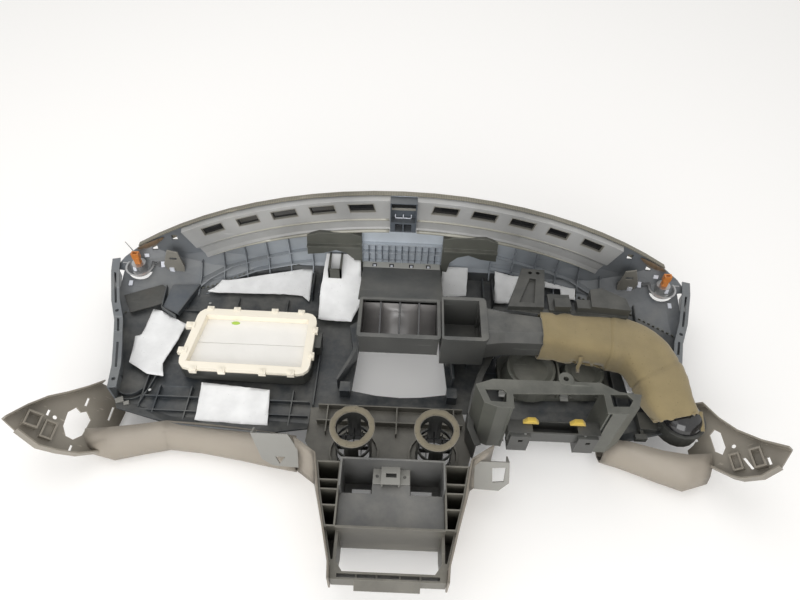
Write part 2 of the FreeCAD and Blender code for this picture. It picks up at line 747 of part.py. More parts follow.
def make_shroud(walls):
    """Tall curved wall between the centre stack and the column."""
    path = [(196, 40), (180, 12), (160, -30), (146, -72), (137, -112), (134, -150), (146, -186)]
    wall = slab_z(strip(path, plate_wall), 48, shroud_top)
    flange = slab_z(strip(path, 12), shroud_top - plate_wall, shroud_top)
    pocket = block(153, 198, -194, -158, 50, 96).cut(block(156, 195, -191, -160, 54, 120))
    web = block(172, 174, -192, -160, 54, 90)
    return seat(join([wall, flange, pocket, web]), walls)


def make_vent(side):
    """Lattice barrel of one round vent, open at both ends."""
    x = side * vent_offset
    barrel = ring(x, vent_y, vent_low, vent_top, vent_radius, vent_radius - vent_wall)
    windows = []
    for turn in (0, 90):
        bar = block(-60, 60, -13, 13, 0, 28)
        for level in (66, 104):
            window = bar.copy()
            window.rotate(vec(0, 0, 0), vec(0, 0, 1), turn + 45)
            window.translate(vec(x, vent_y, level))
            windows.append(window)
    return cut_all(barrel, windows)


def make_gasket(side):
    """Foam ring on the top end of one vent barrel."""
    x = side * vent_offset
    low = vent_top + seat_gap
    return ring(x, vent_y, low, low + gasket_height, vent_radius + gasket_width - 2, vent_radius - 4)


def make_vanes(side):
    """Crossed air vanes and their spindle inside one vent."""
    x = side * vent_offset
    reach = vent_radius - vent_wall - seat_gap
    slats = []
    for shift in (-15, 0, 15):
        half = math.sqrt(reach ** 2 - (abs(shift) + 0.8) ** 2)
        slats.append(block(x + shift - 0.8, x + shift + 0.8, vent_y - half, vent_y + half, 72, 92))
    for shift in (-10, 10):
        half = math.sqrt(reach ** 2 - (abs(shift) + 0.8) ** 2)
        slats.append(block(x - half, x + half, vent_y + shift - 0.8, vent_y + shift + 0.8, 90, 104))
    return join(slats)


def make_vent_panel(walls):
    """Brown-grey panel under the radio that holds the two round vents."""
    low = stack_high + 12 + seat_gap
    outline = [(-vent_panel_half, lower_edge), (132, lower_edge), (150, -165), (132, low), (-132, low),
               (-168, -165)]
    plate = slab_z(outline, 47, 50)
    upright, across = [], []
    for y in (lower_edge - rib_wall, -129):
        across.append(block(-150, 130, y, y + rib_wall, 49, 66))
    for x in (-132, 2, 112):
        upright.append(block(x, x + rib_wall, -152, lower_edge, 49, 66))
    bezels, bores = [], []
    for side in (-1, 1):
        x = side * vent_offset
        bezels.append(ring(x, vent_y, 49, 58, vent_radius + 13, vent_radius + 10))
        bores.append(drum(x, vent_y, 0, 120, vent_radius + seat_gap))
    past_end = block(-300, 300, -400, low, 0, 200)
    body = cut_all(join([plate] + upright + across + bezels), bores + [past_end])
    return seat(body, walls)


def rail_edge(y, inset=0.0):
    """Half width of the centre stack's frame at y, less the inset."""
    spots = [(stack_high + 12, 134.0), (-300.0, 120.0), (-352.0, 106.0), (-405.0, 92.0), (stack_low, 90.0)]
    for (y0, x0), (y1, x1) in zip(spots, spots[1:]):
        if y >= y1:
            return x0 + (x1 - x0) * (y - y0) / (y1 - y0) - inset
    return spots[-1][1] - inset


def stack_underside(drop):
    """YZ outline of the space under the stack's lower end, which rises off the floor."""
    return [(-345, -20), (-345, 2 - drop), (-372, 30 - drop), (stack_low - 6, 88 - drop), (stack_low - 60, 88),
            (stack_low - 60, -20)]


def make_stack_frame():
    """Frame of the centre stack: rails with pockets, an open front and a lower bar."""
    inner = stack_half_width + seat_gap
    turns = (stack_high + 12, -300, -352, -405, stack_low)
    right = [(rail_edge(y), y) for y in turns]
    outline = [(-x, y) for x, y in right] + right[::-1]
    body = slab_z(outline, 30, stack_top - 10)
    room = block(-inner, inner, tray_low - seat_gap, stack_high + seat_gap, 0, 300)
    opening = slab_z([(-inner + 5, tray_low - 4), (inner - 5, tray_low - 4), (inner - 5, -398),
                      (inner - 16, stack_low + 12), (-inner + 16, stack_low + 12), (-inner + 5, -398)], 0, 300)
    above = block(-200, 200, -200, stack_high + seat_gap, 66, 300)
    tools = [room, opening, above]
    pockets = [stack_high, -272, -288, -315, tray_low, -396]
    for side in (-1, 1):
        for high, low in zip(pockets, pockets[1:]):
            y0, y1 = high - rib_wall, low
            reach = inner + tray_wall if low >= tray_low else inner
            corners = [(side * reach, y0), (side * rail_edge(y0, 3), y0), (side * rail_edge(y1, 3), y1),
                       (side * reach, y1)]
            floor = 36 if low >= tray_low else 60
            if rail_edge(y1, 3) > reach + 3:
                tools.append(slab_z(corners, floor, 300))
    tools.append(block(-200, 200, -700, tray_low - 4, 114, 300))
    tools.append(block(-inner + 8, inner - 8, stack_low + 3, stack_low + 9, 70, 300))
    webs = [block(x - 1.2, x + 1.2, stack_low + 1, stack_low + 11, 66, 110) for x in (-50, -18, 18, 50)]
    apron = slab_x([(stack_low - 11, 94), (stack_low, 112), (stack_low, 106), (stack_low - 8, 92)], -53, 50)
    tools.append(slab_x(stack_underside(0), -300, 300))
    body = cut_all(body, tools)
    return join([body, apron] + webs)


def make_tray():
    """Dark tray between the rails, with two deep pockets in its upper corners."""
    half = stack_half_width
    plate = block(-half, half, tray_low, stack_high - 50, tray_height - tray_wall, tray_height)
    tongue = block(-34, 31, stack_high - 50, stack_high, tray_height - tray_wall, tray_height)
    walls = [block(-half, half, stack_high - tray_wall, stack_high, 40, stack_top + 8)]
    for side in (-1, 1):
        walls.append(block(side * half, side * (half - tray_wall), stack_high - 50, stack_high, 40, stack_top + 8))
        walls.append(block(side * half, side * (half - tray_wall), tray_low, stack_high - 50, 62, tray_height))
    for x0, x1 in ((-34, -31), (28, 31)):
        walls.append(block(x0, x1, stack_high - 50, stack_high, 40, tray_height))
    walls.append(block(-half, half, stack_high - 50, stack_high - 47, 40, tray_height))
    walls.append(block(-half, half, tray_low, tray_low + tray_wall, 62, tray_height))
    floors = [block(-half, -31, stack_high - 50, stack_high, 40, 43), block(28, half, stack_high - 50, stack_high, 40, 43)]
    windows = [block(-72, -38, stack_high - 44, stack_high - 12, 30, 50),
               block(34, 72, stack_high - 44, stack_high - 12, 30, 50)]
    return join([plate, tongue] + walls + floors).cut(Part.makeCompound(windows))


def make_tray_bracket():
    """Light grey bracket on the tray with a slot and two holed side plates."""
    low = tray_height
    plate = block(-19, 13, stack_high - 34, stack_high - tray_wall, low, low + 12)
    plate = plate.cut(block(-16, 10, stack_high - 60, stack_high + 10, low, low + 9))
    wings = [block(-33, -19, stack_high - 30, stack_high - tray_wall, low, low + 2),
             block(13, 30, stack_high - 30, stack_high - tray_wall, low, low + 2)]
    slot = slab_z([(-11, -254), (7, -254), (7, -262), (-11, -262)], low - 5, low + 20)
    holes = [drum(x, -256, low - 5, low + 10, 3, sides=hole_sides) for x in (-26, 21)]
    return join([plate] + wings).cut(Part.makeCompound([slot] + holes))


def make_stack_side(side):
    """Outer side panel of the centre stack, which the assembly stands on."""
    gap = seat_gap + trim_wall
    path = [(176, -202)] + [(rail_edge(y) + gap, y) for y in (-229, -300, -352, -405, stack_low - 4)]
    outlines = []
    for height, spread in ((0, 10), (30, 6), (90, 1), (stack_top - 6, 0)):
        moved = [(side * (x + spread * (1.0 if y > -300 else 0.3)), y) for x, y in path]
        ordered = moved if side > 0 else moved[::-1]
        outlines.append([vec(x, y, height) for x, y in strip(ordered, -trim_wall)])
    return cut_all(paneled(outlines), [slab_x(stack_underside(6), -300, 300)])


def trim_sections(side):
    """Stations of a lower trim: x, the y of its lowest edge and the y of its upper lip."""
    left = [(182, -214, -176), (236, -206, -170), (290, -196, -164), (370, -184, -158), (430, -180, -156),
            (480, -192, -166), (530, -206, -174), (574, -196, -180)]
    right = [(400, -168, -156), (440, -180, -158), (502, -204, -174), (548, -220, -180), (592, -206, -176)]
    return left if side < 0 else right


def make_trim(side, walls):
    """Long lower trim, a J section that swells and narrows along the dashboard."""
    stations = []
    for x, low, lip in trim_sections(side):
        path = [(low + 62, 4), (low + 52, 0), (low + 18, 0), (low + 4, 8), (low, 24), (low + 6, 44),
                (0.5 * (low + lip) + 4, 64), (lip + 8, 74)]
        stations.append((side * x, path))
    if side < 0:
        stations = stations[::-1]
    return seat(skin(stations, trim_wall), walls)


def wing_point(side, along, y, lift=0.0):
    """Point on a wing's plate: along it outwards, at y, lifted off its outer face."""
    reach = along / math.sqrt(2)
    rise = lift / math.sqrt(2)
    return vec(side * (wing_start + reach - rise), y, wing_height + reach + rise)


def wing_slab(side, outline, low, high, radius=0):
    points = [wing_point(side, along, y, low) for along, y in outline]
    normal = wing_point(side, 0, 0, high) - wing_point(side, 0, 0, low)
    return rounded(points, radius).extrude(normal)


wing_shapes = {
    -1: [(124, -197), (100, -163), (75, -135), (47, -113), (18, -87), (-7, -61), (-25, -62), (-60, -64),
         (-70, -100), (-66, -140), (-60, -172), (-48, -193), (-11, -212), (23, -219), (57, -222), (99, -208)],
    1: [(135, -196), (98, -171), (65, -140), (42, -107), (23, -67), (-10, -60), (-30, -100), (-34, -150),
        (-30, -186), (4, -190), (32, -216), (46, -224), (78, -229), (110, -220)],
}
wing_holes = {
    -1: [(-13, -140), (0, -127), (9, -133), (20, -127), (31, -142), (29, -170), (18, -186), (4, -188), (-9, -174)],
    1: [(14, -126), (25, -118), (34, -128), (34, -158), (25, -170), (14, -160)],
}
wing_slots = {
    -1: [(-44, -98, -44, -128), (6, -100, 6, -118), (2, -198, 2, -212), (62, -150, 62, -162)],
    1: [(-12, -96, -12, -132), (58, -186, 66, -210), (96, -196, 96, -210)],
}


def make_wing(side, walls):
    """End wing: a flat plate with a raised rim, a large hole, slots and two pocket boxes."""
    outline = wing_shapes[side]
    plate = wing_slab(side, outline, 0, wing_wall)
    rims = []
    for first, last in wing_rims[side]:
        path = outline[first:last]
        rims.append(wing_slab(side, strip(path, -wing_wall), 0, 18))
    boxes = []
    for x0, y0, x1, y1, height in wing_boxes[side]:
        outer = wing_slab(side, [(x0, y0), (x1, y0), (x1, y1), (x0, y1)], 0, height)
        inner = wing_slab(side, [(x0 + 3, y0 - 3), (x1 - 3, y0 - 3), (x1 - 3, y1 + 3), (x0 + 3, y1 + 3)],
                          wing_wall, height + 5)
        boxes.append(outer.cut(inner))
    holes = [wing_slab(side, wing_holes[side], -5, 30)]
    for x0, y0, x1, y1 in wing_slots[side]:
        holes.append(wing_slab(side, [(x0 - 2.2, y0), (x0 + 2.2, y0), (x1 + 2.2, y1), (x1 - 2.2, y1)], -5, 30))
    bolt = wing_point(side, wing_bolt[0], wing_bolt[1], -5)
    holes.append(rod(wing_bolt_radius, bolt, wing_point(side, wing_bolt[0], wing_bolt[1], 30)))
    return seat(cut_all(join([plate] + rims + boxes), holes), walls)


wing_rims = {-1: [(0, 6), (10, 16)], 1: [(0, 6), (9, 14)]}
wing_boxes = {-1: [(70, -168, 96, -196, 16), (40, -172, 62, -206, 12)],
              1: [(72, -178, 92, -214, 16), (36, -176, 54, -208, 12)]}


def make_side_flange(side, walls):
    """Fixing flange along one end, with its long slots and bolt hole."""
    line = [(side * x, y) for x, y in end_line]
    ordered = line if side < 0 else line[::-1]
    wall = slab_z(strip(ordered, plate_wall), 46, end_top)
    lip = slab_z(strip(ordered, 17), end_top - plate_wall, end_top)
    slots = []
    for low, high in ((0.12, 0.38), (0.50, 0.60), (0.68, 0.86)):
        x0, y0 = flange_point(low)
        x1, y1 = flange_point(high)
        slots.append(slab_z([(side * x0 - 2.5, y0), (side * x0 + 2.5, y0), (side * x1 + 2.5, y1),
                             (side * x1 - 2.5, y1)], end_top - 10, end_top + 10))
    for share in flange_bolts:
        x, y = flange_point(share)
        slots.append(rod(flange_bolt_radius, vec(side * x, y, end_top - 10), vec(side * x, y, end_top + 10)))
    return seat(cut_all(join([wall, lip]), slots), walls)


def flange_point(share):
    """Middle of the flange's lip at a share of the way down the end."""
    (x0, y0), (x1, y1) = end_line[0], end_line[-1]
    y = y0 + (y1 - y0) * share
    for (xa, ya), (xb, yb) in zip(end_line, end_line[1:]):
        if y >= yb:
            x = xa + (xb - xa) * (y - ya) / (yb - ya)
            return x - 9, y
    return x1 - 9, y


def make_corner_bracket(side, pad):
    """Upright bracket with an oval slot beside the tweeter."""
    x = 506.0 * stretch
    plate = slab_y([(side * (x - 19), 96), (side * (x - 14), 142), (side * (x + 8), 148), (side * (x + 25), 104),
                    (side * (x + 18), 78), (side * (x - 15), 78)], 222, 225)
    shelf = slab_z([(side * (x - 15), 222), (side * (x - 15), 250), (side * (x + 18), 250),
                    (side * (x + 18), 222)], 92, 95)
    slot = slab_y([(side * (x - 8), 118), (side * (x + 8), 118), (side * (x + 8), 126), (side * (x - 8), 126)],
                  210, 230)
    return seat(cut_all(join([plate, shelf]), [slot]), [pad])


def make_tweeter(side, pad):
    """Small speaker of the end corner: dish, magnet basket and two screw ears."""
    x, y, z = side * tweeter_x, tweeter_y, tweeter_z
    dish = drum(x, y, z, z + 12, tweeter_radius - 8, tweeter_radius)
    well = drum(x, y, z + 2.5, z + 13, tweeter_radius - 12, tweeter_radius - 3)
    magnet = drum(x, y, z + 1, z + 22, 15)
    ears = []
    holes = []
    for turn in (20, 160):
        dx, dy = 38 * math.cos(math.radians(turn)), 38 * math.sin(math.radians(turn))
        ears.append(block(x + dx * 0.74, x + dx * 1.16, y + dy - 6, y + dy + 6, z + 4, z + 11))
        holes.append(drum(x + dx, y + dy, z + 3, z + 20, 2.5, sides=hole_sides))
    body = cut_all(join([dish.cut(well), magnet] + ears), holes)
    return seat(body, [pad])


def make_plug(side):
    """Wiring plug that stands on the speaker's magnet."""
    x, y, z = side * tweeter_x, tweeter_y, tweeter_z + 22
    body = block(x - 6, x + 6, y - 5, y + 5, z, z + 16)
    head = block(x - 8, x + 8, y - 4, y + 6, z + 14, z + 30)
    latch = block(x - 3, x + 3, y + 4, y + 8, z + 6, z + 24)
    socket = block(x - 5, x + 5, y - 2, y + 3, z + 20, z + 35)
    return join([body, head, latch]).cut(socket)


def leaning(x, down):
    """Point on the plane of the knee flaps: x and the distance down its slope."""
    return vec(x, -186 - 0.6 * down, 116 - 0.8 * down)


def make_knee_flap(side, walls):
    """Light grey leaning flap between a lower trim and the centre stack."""
    if side < 0:
        corners = [(-257, 0), (-190, 0), (-172, 28), (-170, 64), (-216, 62), (-236, 50)]
        window = [(-212, 44), (-194, 44), (-204, 58)]
        lift = vec(0, 0, 0)
    else:
        corners = [(144, 0), (206, 0), (208, 40), (190, 56), (146, 54)]
        window = [(176, 12), (200, 10), (198, 38), (178, 40)]
        lift = vec(0, -30, -12)
    normal = vec(0, -0.8, 0.6) * trim_wall
    plate = polygon([leaning(x, down) + lift for x, down in corners]).extrude(normal)
    hole = polygon([leaning(x, down) + lift - normal * 3 for x, down in window]).extrude(normal * 6)
    first, second = (corners[0], corners[-1]) if side < 0 else (corners[1], corners[2])
    top = leaning(*first) + lift
    low = leaning(*second) + lift
    back = vec(0, 16, -12)
    web = polygon([top, low, low + back, top + back]).extrude(vec(-side * trim_wall, 0, 0))
    return seat(join([plate, web]).cut(hole), walls)


# Each felt sheet: its plan outline, the y where it starts to lean, and how steeply it leans.
felt_sheets = {
    "felt_lower_left": ([(-388, -55), (-250, -66), (-240, -156), (-379, -152)], 0, 0),
    "felt_end_left": ([(-538, 126), (-516, 118), (-456, 88), (-463, 47), (-478, -14), (-468, -44),
                       (-502, -40), (-546, -14), (-552, 48), (-541, 52)], 0, 0),
    "felt_upper_left": ([(-430, 178), (-403, 206), (-202, 250), (-202, 166), (-219, 179), (-262, 181)],
                        170, 0.25),
    "felt_center_left": ([(-168, 250), (-92, 250), (-84, 154), (-104, 113), (-176, 114), (-176, 166)],
                         112, 0.5),
    "felt_center_right": ([(92, 250), (151, 250), (148, 194), (91, 188)], 180, 0.6),
    "felt_middle_right": ([(212, 246), (212, 180), (242, 178), (266, 234)], 170, 0.5),
    "felt_upper_right": ([(328, 238), (396, 222), (394, 198), (364, 201), (362, 220), (328, 226)],
                         190, 0.4),
    "felt_end_right": ([(454, 70), (499, 70), (524, 37), (528, 13), (518, -24), (466, -40), (462, 10)], 0, 0),
    "felt_small_right": ([(108, 74), (143, 74), (141, 42), (117, 40)], 0, 0),
    "felt_torn_right": ([(156, 74), (190, 80), (208, 57), (199, 30), (182, 46), (156, 52)], 0, 0),
}


def make_felt(name, walls):
    outline, start, lean = felt_sheets[name]
    low = face_rib_top + seat_gap
    points = [vec(x, y, low + lean * (y - start)) for x, y in outline]
    sheet = polygon(points).extrude(vec(0, 0, felt_thickness))
    return seat(sheet, walls)


def make_metal_clips():
    """Two bright spring clips that stand on the cluster housing."""
    clips = []
    for x, y in ((213, -46), (335, -50)):
        post = block(x - 8, x + 8, y - 3, y, 60, 92)
        foot = block(x - 8, x + 8, y - 12, y, 60, 62)
        clips.append(join([post, foot]).cut(block(x - 4, x + 4, y - 10, y + 5, 74, 84)))
    return Part.makeCompound(clips)


parts = {}
pad = make_pad()
carrier = make_face_carrier(pad)
surround, frame, door, cover = make_airbag()
channel = make_defroster(pad)
center_duct = make_center_duct(pad, carrier)
boot = make_outlet_boot(carrier)
column = make_column_support(carrier)
shroud = make_shroud([carrier, column])
duct_room = duct_body(sleeve_thickness + seat_gap)
collar_room = boot_room()
stack_sides = {side: make_stack_side(side) for side in (-1, 1)}
parts["top_pad_carrier"] = pad
parts["face_carrier"] = carrier
parts["airbag_surround"] = surround
parts["airbag_frame"] = frame
parts["airbag_door_plate"] = door
parts["airbag_cover"] = cover
parts["windshield_edge_trim"] = make_edge_trim()
parts["defroster_channel"] = channel
parts["sensor_bracket"] = make_sensor_bracket(pad)
parts["center_duct"] = center_duct
parts["driver_duct"] = make_driver_duct([carrier, collar_room])
parts["duct_outlet_boot"] = boot
parts["duct_sleeve"] = make_sleeve([collar_room])
parts["duct_bracket"] = make_duct_bracket(pad)
parts["cluster_housing"] = make_cluster_housing()
parts["gauge_hood"] = make_hood(carrier)
parts["column_support"] = column
parts["column_crossbar"] = make_crossbar()
parts["column_shroud"] = shroud
parts["vent_panel"] = make_vent_panel([carrier, column, shroud] + list(stack_sides.values()))
parts["stack_frame"] = make_stack_frame()
parts["stack_tray"] = make_tray()
parts["tray_bracket"] = make_tray_bracket()
parts["metal_clips"] = make_metal_clips()
arches = {}
for side, word in ((-1, "left"), (1, "right")):
    arches[side] = make_arch_bracket(side, [pad, carrier, channel, center_duct])
    trim = make_trim(side, [carrier, column, stack_sides[side], collar_room])
    wing = make_wing(side, [carrier, trim, collar_room])
    parts["arch_bracket_" + word] = arches[side]
    parts["vent_barrel_" + word] = make_vent(side)
    parts["vent_gasket_" + word] = make_gasket(side)
    parts["vent_vanes_" + word] = make_vanes(side)
    parts["stack_side_" + word] = stack_sides[side]
    parts["lower_trim_" + word] = trim
    parts["knee_flap_" + word] = make_knee_flap(side, [stack_sides[side], trim])
    parts["end_wing_" + word] = wing
    parts["end_flange_" + word] = make_side_flange(side, [pad, carrier, wing, collar_room, duct_room])
    parts["corner_bracket_" + word] = make_corner_bracket(side, pad)
    parts["tweeter_" + word] = make_tweeter(side, pad)
    parts["tweeter_plug_" + word] = make_plug(side)
    parts["yellow_pad_" + word] = make_yellow_pad(285 + side * 42)
for name in felt_sheets:
    parts[name] = make_felt(name, [pad, carrier, surround, shroud] + list(arches.values()))

# The finished model stands with the middle of its footprint over the origin.
whole = Part.makeCompound(list(parts.values())).BoundBox
shift = vec(-(whole.XMin + whole.XMax) / 2, -(whole.YMin + whole.YMax) / 2, -whole.ZMin)
print("moved by", shift)
os.makedirs("parts", exist_ok=True)
for name, shape in parts.items():
    shape.translate(shift)
    shape.exportStep("parts/" + name + ".step")
    print(name, len(shape.Solids), shape.isValid(), round(shape.Volume / 1000))
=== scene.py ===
import bpy
import bmesh
import math
from mathutils import Matrix, Vector, noise


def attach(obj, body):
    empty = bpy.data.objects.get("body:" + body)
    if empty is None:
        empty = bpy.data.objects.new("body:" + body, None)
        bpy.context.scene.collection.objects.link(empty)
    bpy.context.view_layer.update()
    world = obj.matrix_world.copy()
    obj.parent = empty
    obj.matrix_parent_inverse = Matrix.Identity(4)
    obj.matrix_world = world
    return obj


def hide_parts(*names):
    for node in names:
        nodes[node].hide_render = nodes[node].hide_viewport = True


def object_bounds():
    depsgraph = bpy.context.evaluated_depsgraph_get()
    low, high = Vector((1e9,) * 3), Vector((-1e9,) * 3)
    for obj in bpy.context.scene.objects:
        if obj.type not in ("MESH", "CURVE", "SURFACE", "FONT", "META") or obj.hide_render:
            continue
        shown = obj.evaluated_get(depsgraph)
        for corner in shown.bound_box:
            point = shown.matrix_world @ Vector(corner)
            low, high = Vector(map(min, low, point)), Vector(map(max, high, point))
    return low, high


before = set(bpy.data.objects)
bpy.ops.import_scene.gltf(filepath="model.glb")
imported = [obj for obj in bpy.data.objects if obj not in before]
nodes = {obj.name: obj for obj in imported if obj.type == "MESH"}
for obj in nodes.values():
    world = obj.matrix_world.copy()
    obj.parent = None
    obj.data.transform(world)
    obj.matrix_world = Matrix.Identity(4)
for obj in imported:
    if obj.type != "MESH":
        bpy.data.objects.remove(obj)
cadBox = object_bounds()
print("stage: frame loaded,", len(nodes), "nodes")

# The camera stands over the lower edge and looks down at the inside of the dashboard.
view = {
    "place": (-0.0036, -0.5981, 1.0959),
    "pitchDown": 50.0,
    "roll": 2.45,
    "yaw": 0.0,
    "lens": 27.0,
}
cameraData = bpy.data.cameras.new("camera")
cameraData.lens = view["lens"]
cameraData.sensor_width = 36.0
camera = bpy.data.objects.new("camera", cameraData)
bpy.context.scene.collection.objects.link(camera)
camera.matrix_world = (Matrix.Translation(view["place"])
                       @ Matrix.Rotation(math.radians(view["yaw"]), 4, "Z")
                       @ Matrix.Rotation(math.radians(90 - view["pitchDown"]), 4, "X")
                       @ Matrix.Rotation(math.radians(view["roll"]), 4, "Z"))
bpy.context.scene.camera = camera
bpy.context.scene.view_settings.view_transform = "Standard"
print("stage: camera set")


def placeObject(name, data):
    thing = bpy.data.objects.new(name, data)
    bpy.context.scene.collection.objects.link(thing)
    return thing


# Node tree helpers
def link(tree, source, target):
    tree.links.new(source, target)


def wire(tree, source, output, target, socket):
    tree.links.new(source.outputs[output], target.inputs[socket])


def addNode(tree, kind, **values):
    node = tree.nodes.new(kind)
    for name, value in values.items():
        setattr(node, name, value)
    return node


def setInputs(node, **values):
    # Values of unlinked sockets; an underscore stands for a space in the socket's name.
    for name, value in values.items():
        node.inputs[name.replace("_", " ")].default_value = value


def newGroup(name, inputs, outputs):
    tree = bpy.data.node_groups.new(name, "ShaderNodeTree")
    for label, kind, value in inputs:
        socket = tree.interface.new_socket(label, in_out="INPUT", socket_type=kind)
        socket.default_value = value
    for label, kind in outputs:
        tree.interface.new_socket(label, in_out="OUTPUT", socket_type=kind)
    return tree, tree.nodes.new("NodeGroupInput"), tree.nodes.new("NodeGroupOutput")


def makeDustGroup():
    # Pale dust that settles on faces that look up, broken up by two sizes of noise.
    tree, inside, out = newGroup("settledDust", [
        ("Color", "NodeSocketColor", (0.1, 0.1, 0.1, 1)),
        ("Dust Color", "NodeSocketColor", (0.45, 0.43, 0.38, 1)),
        ("Amount", "NodeSocketFloat", 0.25),
        ("Scale", "NodeSocketFloat", 14.0)], [("Color", "NodeSocketColor"), ("Mask", "NodeSocketFloat")])
    coords = addNode(tree, "ShaderNodeTexCoord")
    clouds = addNode(tree, "ShaderNodeTexNoise")
    setInputs(clouds, Detail=8, Roughness=0.65)
    wire(tree, coords, "Object", clouds, "Vector")
    wire(tree, inside, "Scale", clouds, "Scale")
    shape = addNode(tree, "ShaderNodeMapRange")
    setInputs(shape, From_Min=0.38, From_Max=0.72)
    wire(tree, clouds, "Fac", shape, "Value")
    geometry = addNode(tree, "ShaderNodeNewGeometry")
    split = addNode(tree, "ShaderNodeSeparateXYZ")
    wire(tree, geometry, "Normal", split, "Vector")
    upward = addNode(tree, "ShaderNodeMapRange")
    setInputs(upward, From_Min=0.1, From_Max=1.0, To_Min=0.25)
    wire(tree, split, "Z", upward, "Value")
    both = addNode(tree, "ShaderNodeMath", operation="MULTIPLY")
    wire(tree, shape, "Result", both, 0)
    wire(tree, upward, "Result", both, 1)
    scaled = addNode(tree, "ShaderNodeMath", operation="MULTIPLY")
    wire(tree, both, "Value", scaled, 0)
    wire(tree, inside, "Amount", scaled, 1)
    mix = addNode(tree, "ShaderNodeMix", data_type="RGBA")
    wire(tree, scaled, "Value", mix, "Factor")
    wire(tree, inside, "Color", mix, "A")
    wire(tree, inside, "Dust Color", mix, "B")
    wire(tree, mix, "Result", out, "Color")
    wire(tree, scaled, "Value", out, "Mask")
    return tree


def makeScuffAndEdgeShadingGroup():
    # Long thin scratches, and a tint along the edges: lighter than the plastic it is a painted highlight,
    # darker it is painted shade.
    tree, inside, out = newGroup("scuffs", [
        ("Color", "NodeSocketColor", (0.1, 0.1, 0.1, 1)),
        ("Scuff Color", "NodeSocketColor", (0.4, 0.39, 0.36, 1)),
        ("Amount", "NodeSocketFloat", 0.4),
        ("Edge Width", "NodeSocketFloat", 0.0015)], [("Color", "NodeSocketColor")])
    coords = addNode(tree, "ShaderNodeTexCoord")
    stretch = addNode(tree, "ShaderNodeMapping")
    setInputs(stretch, Scale=(9, 120, 60), Rotation=(0.2, 0.1, 0.35))
    wire(tree, coords, "Object", stretch, "Vector")
    lines = addNode(tree, "ShaderNodeTexNoise")
    setInputs(lines, Scale=1.0, Detail=6)
    wire(tree, stretch, "Vector", lines, "Vector")
    thin = addNode(tree, "ShaderNodeMapRange")
    setInputs(thin, From_Min=0.66, From_Max=0.74)
    wire(tree, lines, "Fac", thin, "Value")
    # Edge mask from the bevelled normal, where a pale edge colour paints a highlight and a dark one paints
    # shade.
    geometry = addNode(tree, "ShaderNodeNewGeometry")
    bevel = addNode(tree, "ShaderNodeBevel", samples=4)
    wire(tree, inside, "Edge Width", bevel, "Radius")
    turn = addNode(tree, "ShaderNodeVectorMath", operation="DOT_PRODUCT")
    wire(tree, geometry, "Normal", turn, 0)
    wire(tree, bevel, "Normal", turn, 1)
    edge = addNode(tree, "ShaderNodeMapRange")
    setInputs(edge, From_Min=0.99, From_Max=0.86)
    wire(tree, turn, "Value", edge, "Value")
    larger = addNode(tree, "ShaderNodeMath", operation="MAXIMUM")
    wire(tree, thin, "Result", larger, 0)
    wire(tree, edge, "Result", larger, 1)
    scaled = addNode(tree, "ShaderNodeMath", operation="MULTIPLY")
    wire(tree, larger, "Value", scaled, 0)
    wire(tree, inside, "Amount", scaled, 1)
    mix = addNode(tree, "ShaderNodeMix", data_type="RGBA")
    wire(tree, scaled, "Value", mix, "Factor")
    wire(tree, inside, "Color", mix, "A")
    wire(tree, inside, "Scuff Color", mix, "B")
    wire(tree, mix, "Result", out, "Color")
    return tree


def makeGrainGroup():
    # Fine moulded grain as a height, for the Bump node of each material.
    tree, inside, out = newGroup("mouldGrain", [
        ("Scale", "NodeSocketFloat", 900.0), ("Waves", "NodeSocketFloat", 0.4)],
        [("Height", "NodeSocketFloat")])
    coords = addNode(tree, "ShaderNodeTexCoord")
    cells = addNode(tree, "ShaderNodeTexVoronoi")
    wire(tree, coords, "Object", cells, "Vector")
    wire(tree, inside, "Scale", cells, "Scale")
    swell = addNode(tree, "ShaderNodeTexNoise")
    setInputs(swell, Scale=22.0, Detail=3)
    wire(tree, coords, "Object", swell, "Vector")
    scaled = addNode(tree, "ShaderNodeMath", operation="MULTIPLY")
    wire(tree, swell, "Fac", scaled, 0)
    wire(tree, inside, "Waves", scaled, 1)
    total = addNode(tree, "ShaderNodeMath", operation="ADD")
    wire(tree, cells, "Distance", total, 0)
    wire(tree, scaled, "Value", total, 1)
    wire(tree, total, "Value", out, "Height")
    return tree


dustGroup = makeDustGroup()
scuffAndEdgeShadingGroup = makeScuffAndEdgeShadingGroup()
grainGroup = makeGrainGroup()
print("stage: shader groups built")


def placeGroup(tree, group, **values):
    node = tree.nodes.new("ShaderNodeGroup")
    node.node_tree = group
    setInputs(node, **values)
    return node


def shadeOf(color, factor):
    return tuple(min(1.0, channel * factor) for channel in color[:3]) + (1.0,)


def newMaterial(name):
    material = bpy.data.materials.new(name)
    material.use_nodes = True
    tree = material.node_tree
    return material, tree, tree.nodes["Principled BSDF"]


def addBump(tree, shader, height, strength, distance):
    bumpNode = addNode(tree, "ShaderNodeBump")
    setInputs(bumpNode, Strength=strength, Distance=distance)
    link(tree, height, bumpNode.inputs["Height"])
    wire(tree, bumpNode, "Normal", shader, "Normal")
    return bumpNode


